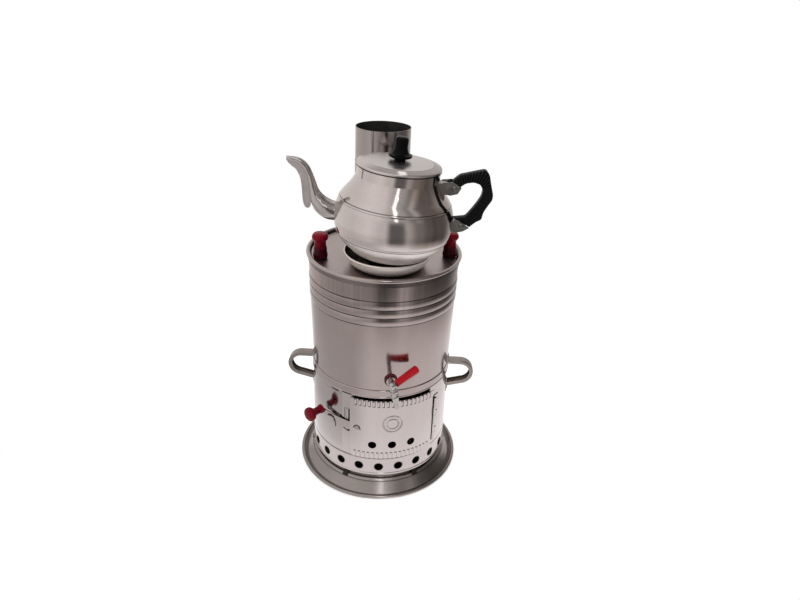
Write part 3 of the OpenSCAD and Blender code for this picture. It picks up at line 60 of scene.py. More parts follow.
# ------------------------------ sizes, as in the solids
OUTWARD = turn(90, "X")         # local Z becomes local -Y
LID_TURN = 2.2
LID = turn(-LID_TURN)
SHEET, POT_SHEET = 0.8, 0.9
FIRE_Z0, FIRE_H = 31.0, 155.5
FIRE_R0, FIRE_R1 = 108.4, 106.3
TANK_Z0, TANK_Z1, TANK_H = 187.5, 360.0, 172.5
TANK_R0, TANK_R1, TANK_FLARE = 106.1, 110.0, 3.9
RIB_COUNT, RIB_H, RIB_DOWN = 3, 12.6, 28
RIB_Z0 = TANK_Z1 - RIB_DOWN - RIB_COUNT * RIB_H
RIB_OUT, RIB_POWER, RIB_EASE = 0.95, 0.62, 0.4      # a power below 1 sharpens the valleys
AIR_COUNT, AIR_AZ, AIR_D, AIR_Z = 22, -7.4, 12.6, 46
FLUTE_PITCH, FLUTE_MID = 3.6, 3.5
FLUE_Y = 65.2
SEAT_Y = -47
BELLY_R, BELLY_Z = 79.4, 55
NECK_R, POT_H = 54.3, 125
POT_X, POT_Y, POT_Z = 1.4, -55.8, 379.925861
POT_TURN, POT_LEAN = -6, 4
POT = LID @ shift(POT_X, POT_Y, POT_Z) @ turn(POT_TURN) @ turn(POT_LEAN, "Y")


def fire_r(z):
    return FIRE_R0 + (FIRE_R1 - FIRE_R0) * (z - FIRE_Z0) / FIRE_H


def tank_r(z):
    return TANK_R0 + TANK_FLARE * (z - TANK_Z0) / TANK_H


# ------------------------------ shapes
def arc(cx, cy, r, a0, a1, n):
    angles = [deg(a0 + (a1 - a0) * i / n) for i in range(n + 1)]
    return [(cx + r * math.cos(a), cy + r * math.sin(a)) for a in angles]


def bez(a, b, c, n):
    """A quadratic Bezier curve of n steps."""
    out = []
    for i in range(n + 1):
        t = i / n
        out.append(tuple((1 - t) ** 2 * a[k] + 2 * t * (1 - t) * b[k] + t * t * c[k] for k in range(2)))
    return out


def spline(pts, n):
    """A smooth line through all the points, as a Catmull-Rom curve of any dimension."""
    out = []
    for i in range(len(pts) - 1):
        p0 = pts[max(i - 1, 0)]
        p1, p2 = pts[i], pts[i + 1]
        p3 = pts[min(i + 2, len(pts) - 1)]
        for k in range(n):
            t = k / n
            out.append(tuple(0.5 * (2 * b + (c - a) * t + (2 * a - 5 * b + 4 * c - d) * t * t
                                    + (3 * b - a - 3 * c + d) * t ** 3)
                             for a, b, c, d in zip(p0, p1, p2, p3)))
    out.append(tuple(pts[-1]))
    return out


def thicken(path, t):
    """Closed outline of a sheet whose metal lies on the left of the path."""
    lefts = []
    for (x0, y0), (x1, y1) in zip(path, path[1:]):
        length = math.hypot(x1 - x0, y1 - y0) or 1.0
        lefts.append((-(y1 - y0) / length, (x1 - x0) / length))
    side = [lefts[0]]
    for a, b in zip(lefts, lefts[1:]):
        dot = a[0] * b[0] + a[1] * b[1]
        side.append(((a[0] + b[0]) / (1 + dot), (a[1] + b[1]) / (1 + dot)))
    side.append(lefts[-1])
    back = [(p[0] + s[0] * t, p[1] + s[1] * t) for p, s in zip(path, side)]
    return list(path) + back[::-1]


def skin(bm, rings):
    """Joins rings of equal length with four-sided faces."""
    for a, b in zip(rings, rings[1:]):
        for k in range(len(a)):
            q = (k + 1) % len(a)
            bm.faces.new((a[k], a[q], b[q], b[k]))


def to_object(name, bm, body, mat, sharp=32, replaces=()):
    bmesh.ops.recalc_face_normals(bm, faces=bm.faces)
    me = bpy.data.meshes.new(name)
    bm.to_mesh(me)
    bm.free()
    me.shade_smooth()
    me.set_sharp_from_angle(angle=deg(sharp))
    ob = bpy.data.objects.new(name, me)
    bpy.context.scene.collection.objects.link(ob)
    me.materials.append(mat)
    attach(ob, body)
    if replaces:
        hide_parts(*replaces)
    return ob


def lathe_bm(outline, matrix, seg, bm=None):
    """Turns a closed outline of (radius, height) round the local Z axis."""
    bm = bm or bmesh.new()
    rings = []
    for r, z in outline:
        if r < 1e-4:
            points = [(0, 0, z * MM)]
        else:
            angles = [2 * math.pi * k / seg for k in range(seg)]
            points = [(r * MM * math.cos(a), r * MM * math.sin(a), z * MM) for a in angles]
        rings.append([bm.verts.new(matrix @ Vector(p)) for p in points])
    for a, b in zip(rings, rings[1:] + rings[:1]):
        if len(a) == 1 and len(b) == 1:
            continue
        for k in range(seg):
            q = (k + 1) % seg
            if len(a) == 1:
                bm.faces.new((a[0], b[k], b[q]))
            elif len(b) == 1:
                bm.faces.new((a[k], b[0], a[q]))
            else:
                bm.faces.new((a[k], b[k], b[q], a[q]))
    return bm


def lathe(name, outline, body, mat, matrix, seg, replaces, sharp=32):
    return to_object(name, lathe_bm(outline, matrix, seg), body, mat, sharp, replaces)


# ------------------------------ node helpers
class Graph:
    """Node helpers that the materials, the floor and the world share."""

    def __init__(self, tree):
        self.nt = tree

    def new(self, kind, **props):
        node = self.nt.nodes.new(kind)
        for key, value in props.items():
            setattr(node, key, value)
        return node

    def feed(self, node, pairs, output=0):
        """Gives inputs of a node a value or a link, and returns one of its outputs."""
        for key, value in pairs:
            socket = node.inputs[key]
            if isinstance(value, bpy.types.NodeSocket):
                self.nt.links.new(value, socket)
            elif isinstance(value, tuple) and socket.type == "RGBA":
                socket.default_value = (*value, 1)
            else:
                socket.default_value = value
        return node.outputs[output]

    def math(self, op, a, b=0.0):
        return self.feed(self.new("ShaderNodeMath", operation=op), ((0, a), (1, b)))

    def vector(self, op, a, b=None, output=0):
        pairs = ((0, a),) if b is None else ((0, a), (1, b))
        return self.feed(self.new("ShaderNodeVectorMath", operation=op), pairs, output)

    def xyz(self, vector):
        node = self.new("ShaderNodeSeparateXYZ")
        self.feed(node, ((0, vector),))
        return node.outputs

    def mix(self, fac, a, b, blend="MIX"):
        node = self.new("ShaderNodeMix", data_type="RGBA", blend_type=blend)
        return self.feed(node, ((0, fac), (6, a), (7, b)), 2)

    def ramp(self, fac, stops, tint=(1, 1, 1)):
        """Colours along a ramp. A stop that is a number is a tone of the tint."""
        node = self.new("ShaderNodeValToRGB")
        elements = node.color_ramp.elements
        while len(elements) < len(stops):
            elements.new(0.5)
        for element, (at, colour) in zip(elements, stops):
            if not isinstance(colour, tuple):
                colour = tuple(colour * t for t in tint)
            element.position = at
            element.color = (*colour, 1)
        return self.feed(node, (("Fac", fac),), "Color")

    def span(self, value, lo, hi, a=0.0, b=1.0):
        """Maps a to lo and b to hi, straight between them."""
        node = self.new("ShaderNodeMapRange")
        return self.feed(node, ((0, value), (1, a), (2, b), (3, lo), (4, hi)), "Result")

    def soft(self, value, lo, hi):
        """0 below lo and 1 above hi; the other way round when lo is the larger."""
        node = self.new("ShaderNodeMapRange", interpolation_type="SMOOTHSTEP")
        flip = lo > hi
        limits = ((1, min(lo, hi)), (2, max(lo, hi)), (3, float(flip)), (4, float(not flip)))
        return self.feed(node, ((0, value), *limits), "Result")

    def between(self, value, *edges):
        """1 between two soft edges, each given from its 0 to its 1."""
        return self.both(self.soft(value, *edges[:2]), self.soft(value, *edges[2:]))

    def close_to(self, value, at, far, near):
        """1 within near of a value, 0 beyond far from it."""
        return self.soft(self.math("ABSOLUTE", self.math("SUBTRACT", value, at)), far, near)

    def both(self, first, *more):
        for other in more:
            first = self.math("MULTIPLY", first, other)
        return first

    def either(self, first, *more):
        for other in more:
            first = self.math("MAXIMUM", first, other)
        return first

    def hypot(self, a, b):
        return self.math("SQRT", self.math("ADD", self.math("MULTIPLY", a, a), self.math("MULTIPLY", b, b)))

    def azimuth(self, x, y):
        return self.math("MULTIPLY", self.math("ARCTAN2", x, self.math("MULTIPLY", y, -1)), 180 / math.pi)


class Surface(Graph):
    """One material of the object, built up in layers on its Principled shader."""

    def __init__(self, name):
        self.mat = bpy.data.materials.new(name)
        self.mat.use_nodes = True
        super().__init__(self.mat.node_tree)
        self.bsdf = self.nt.nodes["Principled BSDF"]
        place = self.new("ShaderNodeTexCoord")
        self.coord, self.normal = place.outputs["Object"], place.outputs["Normal"]

    def put(self, name, value):
        self.feed(self.bsdf, ((name, value),))

    def now(self, name):
        """What feeds an input of the shader so far."""
        return self.bsdf.inputs[name].links[0].from_socket

    def paint(self, fac, colour, blend="MIX"):
        self.put("Base Color", self.mix(fac, self.now("Base Color"), colour, blend))

    def rougher(self, amount):
        self.put("Roughness", self.math("ADD", self.now("Roughness"), amount))

    def bump(self, height, strength, distance):
        """Adds relief on top of the relief so far."""
        pairs = [("Strength", strength), ("Distance", distance), ("Height", height)]
        if self.bsdf.inputs["Normal"].is_linked:
            pairs.append(("Normal", self.now("Normal")))
        self.put("Normal", self.feed(self.new("ShaderNodeBump"), pairs, "Normal"))

    def noise(self, scale, detail, rough, stretch=(1, 1, 1), turned=(0, 0, 0), distortion=0.0):
        pairs = (("Scale", stretch), ("Rotation", turned), ("Vector", self.coord))
        place = self.feed(self.new("ShaderNodeMapping"), pairs)
        pairs = (("Scale", scale), ("Detail", detail), ("Roughness", rough), ("Distortion", distortion))
        return self.feed(self.new("ShaderNodeTexNoise"), (*pairs, ("Vector", place)), "Fac")

    def polar(self):
        """Azimuth in degrees, and height and radius in mm."""
        x, y, z = self.xyz(self.coord)
        radius = self.math("MULTIPLY", self.hypot(x, y), 1000)
        return self.azimuth(x, y), self.math("MULTIPLY", z, 1000), radius

    def from_point(self, az, z, az0, z0, wall_r):
        """Distance in mm, on a wall of that radius, from a point at an azimuth and a height."""
        across = self.math("MULTIPLY", self.math("SUBTRACT", az, az0), wall_r * math.pi / 180)
        return self.hypot(across, self.math("SUBTRACT", z, z0))

    def round_axis(self, y_mm):
        """Offsets from the upright axis at that Y on the turned lid, and how far the normal points away."""
        x, y, _ = self.xyz(self.coord)
        nx, ny, _ = self.xyz(self.normal)
        dx = self.math("SUBTRACT", x, y_mm * math.sin(deg(LID_TURN)) * MM)
        dy = self.math("SUBTRACT", y, y_mm * math.cos(deg(LID_TURN)) * MM)
        return dx, dy, self.math("ADD", self.math("MULTIPLY", dx, nx), self.math("MULTIPLY", dy, ny))

    def round_front(self, tones):
        """Tones over the front half: 0 is the left side, 0.5 the tap's side, 1 the right."""
        return self.ramp(self.span(self.polar()[0], 0, 1, -90, 90), tones)

    def cut_edges(self):
        """1 on the narrow cut edges of a sheet that lies round the body, 0 on its faces."""
        outward = self.vector("NORMALIZE", self.vector("MULTIPLY", self.coord, (1, 1, 0)))
        facing = self.vector("DOT_PRODUCT", outward, self.normal, "Value")
        return self.soft(self.math("ABSOLUTE", facing), 0.5, 0.3)


# ------------------------------ materials
UP = (1, 1, 0.02)               # grain that runs upwards
EVEN = (1, 1, 1)
DIRT = (0.5, 0.45, 0.42)        # share of the base colour that is left under a blotch
# painted shade along the narrow cut edges of sheets
EDGE_SHADE = (0.03, 0.027, 0.026)
# colour of the painted shade lines, and of the dark spots on the firebox
MARK = (0.035, 0.03, 0.03)
BLACK = (0.003, 0.003, 0.0035)
# places in metres, as the shaders see them
FOOT_X, FOOT_Y = -0.0007, -0.0558           # the teapot's axis, where it meets the lid
SEAT_FOOT = (-0.0018, -0.04697, 0.3605)
GRIP_X, GRIP_Z, GRIP_RIBS = 0.097, 0.4582, 64       # middle of the teapot's handle, ribs in a full turn
# places on the walls: azimuth, height and the wall's radius in mm
RING_AZ, RING_Z, RING_WALL = 2.6, 129.5, 111
AIR_WALL, WELD_WALL = 108.2, 107


def steel(name, base, rough, grain=EVEN, grain_scale=60, grain_amount=0.1, blotch=0.12, dents=0.0,
          dent_scale=9.0, edges=False, marks=None):
    """Sheet metal: fine grain along one way, soft blotches, finger smudges and shallow waves."""
    n = Surface(name)
    n.put("Metallic", 1.0)
    fine = n.noise(grain_scale, 4, 0.6, grain)
    broad = n.noise(14, 3, 0.55, (1, 1, 0.6), distortion=0.3)
    smear = n.noise(38, 5, 0.65, turned=(0.3, 0.5, 0.2), distortion=0.8)
    dark = tuple(c * (1 - 1.3 * grain_amount) for c in base)
    light = tuple(min(1, c * (1 + 0.7 * grain_amount)) for c in base)
    n.put("Base Color", n.ramp(fine, [(0.25, dark), (0.75, light)]))
    n.paint(n.span(broad, 0, blotch * 2, 0.35, 0.8), tuple(b * d for b, d in zip(base, DIRT)))
    # painted shade: the narrow cut edges are painted near black, to stand for the shadow lines along them
    if edges:
        n.paint(n.cut_edges(), EDGE_SHADE)
    # painted shade lines from the marks function, and on the firebox dark spots round the air holes and
    # welds
    if marks:
        n.paint(marks(n), MARK)
    wide = min(0.05, grain_amount * 0.5)
    n.put("Roughness", n.math("ADD", n.span(fine, -wide, wide, 0.3, 0.7), rough))
    n.rougher(n.span(smear, 0, 0.08, 0.5, 0.75))
    n.bump(fine, grain_amount * 0.5, 0.0002)
    if dents:
        n.bump(n.noise(dent_scale, 2, 0.4), dents, 0.004)
    return n


def plastic(name, base, rough, grain, grain_scale, spec=0.25, coat=0.0):
    """Moulded plastic with a cloudy tone and fine grain."""
    n = Surface(name)
    n.put("Specular IOR Level", spec)
    n.put("Coat Weight", coat)
    n.put("Coat Roughness", 0.05)
    cloud = n.noise(30, 4, 0.6, distortion=0.5)
    dark = tuple(c * 0.82 for c in base)
    light = tuple(min(1, c * 1.15) for c in base)
    n.put("Base Color", n.ramp(cloud, [(0.3, dark), (0.7, light)]))
    n.put("Roughness", n.math("ADD", n.span(cloud, -0.04, 0.07, 0.35, 0.7), rough))
    n.bump(n.noise(grain_scale, 3, 0.6), grain, 0.0003)
    return n


MM_PER_DEG = 1.888              # round the firebox


def strokes(n, az, z, lines):
    """Thin dark strokes on the wall, each a list of (azimuth, height) with half a width and a strength."""
    marks = []
    for points, half, strength in lines:
        for (a0, z0), (a1, z1) in zip(points, points[1:]):
            bx, bz = (a1 - a0) * MM_PER_DEG, z1 - z0
            px = n.math("MULTIPLY", n.math("SUBTRACT", az, a0), MM_PER_DEG)
            pz = n.math("SUBTRACT", z, z0)
            along = n.math("ADD", n.math("MULTIPLY", px, bx), n.math("MULTIPLY", pz, bz))
            t = n.math("DIVIDE", along, bx * bx + bz * bz)
            t = n.math("MINIMUM", n.math("MAXIMUM", t, 0), 1)
            dx = n.math("SUBTRACT", px, n.math("MULTIPLY", t, bx))
            dz = n.math("SUBTRACT", pz, n.math("MULTIPLY", t, bz))
            marks.append(n.both(n.soft(n.hypot(dx, dz), half + 0.35, half * 0.7), strength))
    return n.either(*marks)


def door_shade_lines(n):
    """Painted shade in the creases beside the flutes, round the pressed rings and along the latch rivet."""
    az, z, r = n.polar()
    # s runs from -0.5 to 0.5 over each flute; top is the height, levelled with the sloping upper edge
    s = n.math("FRACT", n.math("DIVIDE", n.math("SUBTRACT", az, FLUTE_MID), FLUTE_PITCH))
    s = n.math("SUBTRACT", s, 0.5)
    top = n.math("ADD", z, n.math("MULTIPLY", n.math("ADD", az, 31.2), 0.03338))
    upper = n.both(n.soft(top, 160.8, 161.4), n.between(s, 0.24, 0.30, 0.45, 0.38))
    hook = n.both(n.between(top, 160.2, 160.8, 162.8, 162.0), n.between(s, -0.12, -0.06, 0.45, 0.38))
    teeth = n.both(n.soft(top, 169.6, 170.4), n.close_to(s, 0, 0.3, 0.16))
    lower = n.both(n.soft(z, 76.8, 76.2), n.between(s, 0.27, 0.31, 0.41, 0.36), 0.6)
    foot = n.both(n.between(z, 77.8, 77.2, 75.2, 75.8), n.between(s, -0.2, -0.14, 0.4, 0.34), 0.7)
    flutes = n.both(n.between(az, -29.2, -28.8, 36.2, 35.8), n.either(upper, teeth, hook, lower, foot))
    away = n.from_point(az, z, RING_AZ, RING_Z, RING_WALL)
    rings = n.either(*[n.close_to(away, radius, half + 0.35, half * 0.4)
                       for radius, half in ((15.1, 0.45), (13.3, 0.35), (9.4, 0.4), (8.0, 0.3))])
    # breaks the painted shade round the rings into patches
    patchy = n.soft(n.noise(90, 3, 0.6), 0.36, 0.56)
    rivet = [(-28.0, 118.9), (-26.8, 122.4), (-25.2, 124.0), (-23.6, 122.6), (-22.7, 117.0)]
    marks = n.either(flutes, n.both(rings, patchy, 0.75), strokes(n, az, z, [(rivet, 0.9, 1.1)]))
    return n.both(marks, n.soft(r, 109.6, 110.2), 0.9)


def latch_marks(n):
    """Shadows in the strap's round notch and under its lower edge."""
    az, z, _ = n.polar()
    arch = [(-52.6, 121.4), (-50.8, 124.2), (-48.8, 125.4), (-46.8, 123.9), (-45.5, 120.4), (-44.7, 115.5),
            (-44.5, 110)]
    return strokes(n, az, z, [(arch[1:4], 2.1, 1.0), (arch[:2], 1.0, 1.0), (arch[3:], 1.5, 1.0),
                              ([(-36.5, 111.6), (-33.8, 108.8), (-31.4, 111.2)], 1.15, 1.0)])


def fire_marks(n):
    """Painted shadows along the edges of the frame, the window plate and the latch, darker round the air
    holes, dark spots at the weld dimples.
    """
    az, z, _ = n.polar()
    notch = [(-55.6, 117.7), (-53.6, 120.7), (-51.0, 121.7), (-48.6, 120.2), (-46.7, 115.9), (-46.2, 110),
             (-46.2, 105)]
    # painted shadows along the frame, the window plate, the latch's notch and below the band
    edges = strokes(n, az, z, [
        (notch[1:4], 1.5, 1.6), (notch[:2], 0.7, 1.5), (notch[3:], 1.1, 1.6),
        ([(-37.4, 110.2), (-33.4, 106.6), (-32.0, 108.8)], 1.1, 1.7),
        ([(-36.8, 146.6), (-36.9, 126.5)], 0.6, 1.2), ([(-36.4, 148.2), (-32.4, 148.9)], 0.2, 0.5),
        ([(-32.5, 145.8), (-32.7, 124.6)], 1.7, 1.7), ([(-49.9, 172.7), (-43.6, 172.2)], 1.6, 1.7),
        ([(-60, 170.6), (-51, 170.2), (-40, 169)], 0.8, 0.35), ([(-38.8, 174.0), (-31, 173.6)], 0.7, 1.4),
        ([(-39.7, 173), (-39.7, 72)], 0.2, 0.3)])
    step = n.math("DIVIDE", n.math("SUBTRACT", az, AIR_AZ), 360 / AIR_COUNT)
    off = n.math("SUBTRACT", step, n.math("ROUND", step))
    away = n.hypot(n.math("MULTIPLY", off, AIR_WALL * 2 * math.pi / AIR_COUNT), n.math("SUBTRACT", z, AIR_Z))
    # darker round the air holes
    hole_rims = n.both(n.soft(away, AIR_D / 2 + 1.5, AIR_D / 2 + 0.4), 1.6)
    welds = [n.soft(n.from_point(az, z, a, h, WELD_WALL), 1.6, 0.9)
             for a, h in ((33.9, 142), (33.9, 116), (33.9, 93.5), (46.2, 147), (46.2, 115), (46.2, 83))]
    return n.both(n.either(edges, hole_rims, *welds), 0.6)


def rib_shade_lines(n):
    """Painted shade in the sharp valleys of the ribs, and a painted shadow in the gap over the frame strip
    on the band.
    """
    az, z, _ = n.polar()
    valleys = n.either(*[n.close_to(z, 294.0 + RIB_H * k, 1.15, 0.35) for k in range(RIB_COUNT + 1)])
    uneven = n.span(n.noise(16, 2, 0.5, (1, 1, 0.2)), 0.45, 0.95, 0.35, 0.6)
    gap = strokes(n, az, z, [([(-38.6, 175.3), (-31, 175.0)], 0.7, 1.0)])
    return n.either(n.both(valleys, uneven), gap)


def tank_material():
    """Brushed upwards. Over the ribs a painted reflection: darker, with upright streaks, but for a painted
    pale highlight streak in front.
    """
    n = steel("tank_steel", (0.43, 0.365, 0.355), 0.15, UP, 700, 0.03, 0.10, 0.03, 7, marks=rib_shade_lines)
    light_and_shade = n.round_front([(0.0, 0.8), (0.12, 0.95), (0.3, 0.62), (0.46, 0.58), (0.51, 1.15), (0.55, 1.15),
                          (0.6, 0.6), (0.8, 0.58), (1.0, 0.8)])
    streaks = n.span(n.noise(260, 2, 0.5, (1, 1, 0.01)), 0.88, 1.1, 0.3, 0.7)
    # painted reflection over the ribs: darker sides, a pale highlight in front, broken by upright streaks
    n.paint(n.soft(n.polar()[1], 282, 345), n.mix(1.0, light_and_shade, streaks, "MULTIPLY"), "MULTIPLY")
    return n.mat


def fire_material():
    """Painted shade: darker to the left of the frame."""
    n = steel("firebox_steel", (0.53, 0.475, 0.47), 0.13, UP, 500, 0.03, 0.06, 0.10, 11, True, fire_marks)
    az, z, _ = n.polar()
    left = n.both(n.between(az, -39.5, -40.0, -150, -120), n.soft(z, 62, 84))
    # painted shade on the left side
    n.paint(left, (0.86, 0.85, 0.86), "MULTIPLY")
    return n.mat


def tray_material():
    """Painted light: darker at the sides of the front, a painted highlight in the middle, with a painted
    shade line round the inner hump.
    """
    n = steel("tray_steel", (0.36, 0.325, 0.31), 0.2, (1, 1, 6), 160, 0.06, 0.1, 0.03, 12)
    light_and_shade = n.round_front([(0.0, 0.8), (0.2, 0.85), (0.38, 0.9), (0.46, 1.15), (0.5, 1.5), (0.54, 1.15),
                          (0.62, 0.85), (0.72, 0.6), (0.85, 0.7), (1.0, 0.8)])
    # painted light and shade across the front
    n.paint(1.0, light_and_shade, "MULTIPLY")
    # painted shade line round the inner hump
    n.paint(n.both(n.close_to(n.polar()[2], 110.6, 0.9, 0.3), 0.6), (0.05, 0.045, 0.043))
    return n.mat


def lid_material():
    """Painted shade at its edge, under the seat and close round the seat's foot."""
    n = steel("lid_steel", (0.43, 0.37, 0.36), 0.33, (1, 0.05, 1), 500, 0.04, 0.06, 0.04, 7)
    away = n.vector("LENGTH", n.vector("SUBTRACT", n.coord, SEAT_FOOT), output="Value")
    shaded = n.either(n.soft(n.polar()[2], 105.4, 106.1), n.soft(away, 0.0455, 0.0435),
                      n.both(n.soft(away, 0.057, 0.046), 0.6))
    # painted shade
    n.paint(shaded, (0.03, 0.024, 0.022))
    return n.mat


def rim_material():
    """Soft on its inner side, with painted shade in the seam where the rolled rim meets the wall and along
    its inner edge.
    """
    n = steel("rim_steel", (0.43, 0.37, 0.36), 0.2, (1, 1, 3), 300, 0.05, 0.06, 0.03, 9)
    _, z, r = n.polar()
    n.rougher(n.both(n.soft(r, 110.6, 109.4), 0.3))
    # painted shade in the seam and along the inner edge
    seam = n.both(n.soft(z, 361.1, 360.6), n.soft(r, 110.5, 111), 0.6)
    n.paint(n.either(seam, n.both(n.soft(r, 108.3, 107.9), 0.5)), (0.025, 0.022, 0.021))
    return n.mat


def lid_knob_material():
    """Deeper red towards the foot, where little light reaches."""
    n = plastic("dark_red_knob", (0.165, 0.0012, 0.0085), 0.08, 0.02, 500, 0.11)
    n.paint(n.soft(n.polar()[1], 388, 372), (0.03, 0.0006, 0.003))
    return n.mat


def ribbed_material():
    """Black plastic with fine ribs that run across the teapot's handle."""
    n = plastic("ribbed_black_plastic", BLACK, 0.3, 0.15, 700, 0.05)
    x, _, z = n.xyz(n.coord)
    angle = n.math("ARCTAN2", n.math("SUBTRACT", z, GRIP_Z), n.math("SUBTRACT", x, GRIP_X))
    wave = n.math("SINE", n.math("MULTIPLY", angle, GRIP_RIBS))
    n.bump(n.soft(wave, -0.6, 0.6), 0.7, 0.0008)
    # painted highlight: the crests of the ribs are painted a little lighter
    n.paint(n.soft(wave, 0.75, 1.0), (0.022, 0.022, 0.023))
    return n.mat


def seat_material():
    """Pale and half metallic outside and on the rim, as a painted reflection of the bright lid, with painted
    shade inside the bowl.
    """
    n = steel("seat_steel", (0.74, 0.665, 0.62), 0.36, (1, 1, 5), 300, 0.01, 0.03)
    # painted reflection: half metallic, so that the pale colour shows as the lid's brightness
    n.put("Metallic", 0.55)
    dx, dy, outward = n.round_axis(SEAT_Y)
    inside = n.both(n.soft(outward, 0.016, 0.006), n.soft(n.hypot(dx, dy), 0.0598, 0.0592))
    # painted shade inside the bowl
    n.paint(inside, (0.02, 0.017, 0.015))
    return n.mat


def pipe_material():
    """Smooth outside with a lap seam. Inside, where the normal points at the pipe's axis, it is sooty."""
    n = steel("pipe_steel", (0.37, 0.335, 0.325), 0.17, UP, 500, 0.04, 0.1, 0.05, 9)
    dx, dy, outward = n.round_axis(FLUE_Y)
    inside = n.math("LESS_THAN", outward, -0.005)
    around = n.azimuth(dx, dy)
    n.paint(n.both(n.between(around, -28, -27.6, -12, -20), 0.35), (0.2, 0.175, 0.17))
    n.paint(n.both(n.close_to(around, -27.7, 0.95, 0.4), 0.85), (0.03, 0.026, 0.025))
    n.paint(inside, n.ramp(n.noise(60, 5, 0.7), [(0.3, 0.004), (0.75, (0.02, 0.018, 0.016))]))
    n.rougher(n.both(inside, 0.5))
    n.put("Metallic", n.math("SUBTRACT", 1.0, inside))
    return n.mat


def pot_height(n):
    """Height in mm along the teapot's own leaning axis."""
    axis = POT.to_3x3() @ Vector((0, 0, 1))
    dot = n.vector("DOT_PRODUCT", n.coord, axis, "Value")
    return n.math("MULTIPLY", n.math("SUBTRACT", dot, POT.translation.dot(axis)), 1000)


def pot_material():
    """Polished above the lower seam, dulled, scratched and painted lighter under it, with dark lines along
    both seams, a painted shadow at the foot and painted reflections on the right.
    """
    n = steel("teapot_steel", (0.60, 0.545, 0.53), 0.1, (1, 1, 4), 240, 0.05, 0.07, 0.03, 16)
    up = pot_height(n)
    under = n.soft(up, 36, 31)
    n.rougher(n.both(under, 0.3))
    # painted reflection: lighter under the lower seam, where the duller metal mirrors the bright lid
    n.paint(under, (0.78, 0.72, 0.70))
    scratch = n.soft(n.noise(120, 6, 0.7, (1, 1, 0.35), (0.5, 0.2, 0.1), 1.2), 0.66, 0.74)
    n.paint(n.both(scratch, under, 0.6), (0.28, 0.25, 0.24))
    # painted shadow: black where the foot sinks into the seat
    n.paint(n.soft(up, 7.6, 6.2), (0.012, 0.01, 0.009))
    # painted reflection: brown and darker on the right, where the polished metal mirrors the dark side of
    # the room
    x, y, _ = n.xyz(n.coord)
    around = n.azimuth(n.math("SUBTRACT", x, FOOT_X), n.math("SUBTRACT", y, FOOT_Y))
    right = n.both(n.between(around, 6, 20, 96, 62), n.soft(up, 36, 41))
    panes = n.span(n.noise(34, 3, 0.6, (1, 1, 0.05), distortion=0.4), 0.45, 1.0, 0.35, 0.6)
    brown = n.mix(n.soft(up, 77.5, 78.5), (0.50, 0.44, 0.40), (0.74, 0.67, 0.62))
    n.paint(n.both(right, panes), brown, "MULTIPLY")
    seams = [n.both(n.close_to(up, at, half + 0.3, half * 0.5), strength) for at, half, strength in (
        (79.9, 0.55, 0.75), (77.0, 0.35, 0.4), (31.5, 0.6, 0.85), (34.6, 0.3, 0.3))]
    n.paint(n.either(*seams), (0.05, 0.042, 0.04))
    return n.mat


def pot_lid_material():
    """Duller than the body, with painted shade over the bevel in front, a painted highlight across it, and
    painted shade in the crease round the crown and along the lower edge.
    """
    n = steel("teapot_lid_steel", (0.62, 0.57, 0.555), 0.3, (1, 1, 4), 240, 0.05, 0.07, 0.03, 16)
    up = pot_height(n)
    x, y, _ = n.xyz(n.coord)
    ahead = n.math("MULTIPLY", n.math("SUBTRACT", y, FOOT_Y), 0.91)
    side = n.math("SUBTRACT", n.math("MULTIPLY", x, 0.42), ahead)
    front = n.soft(side, -0.004, 0.03)
    bevel = n.both(n.between(up, 128.6, 128.0, 125.2, 126.2), front)
    # painted shade over the bevel in front
    n.paint(n.both(bevel, 0.8), (0.30, 0.265, 0.25))
    # painted highlight: a pale glint across the bevel in front
    n.paint(n.both(n.close_to(x, 0.0035, 0.0075, 0.002), bevel), (1.0, 0.97, 0.94))
    # painted shade in the crease round the crown and along the lower edge
    crease = n.both(n.close_to(up, 128.5, 0.4, 0.1), front, 0.45)
    n.paint(n.either(crease, n.soft(up, 123.4, 122.7)), (0.03, 0.025, 0.024))
    n.rougher(n.both(bevel, -0.14))
    return n.mat


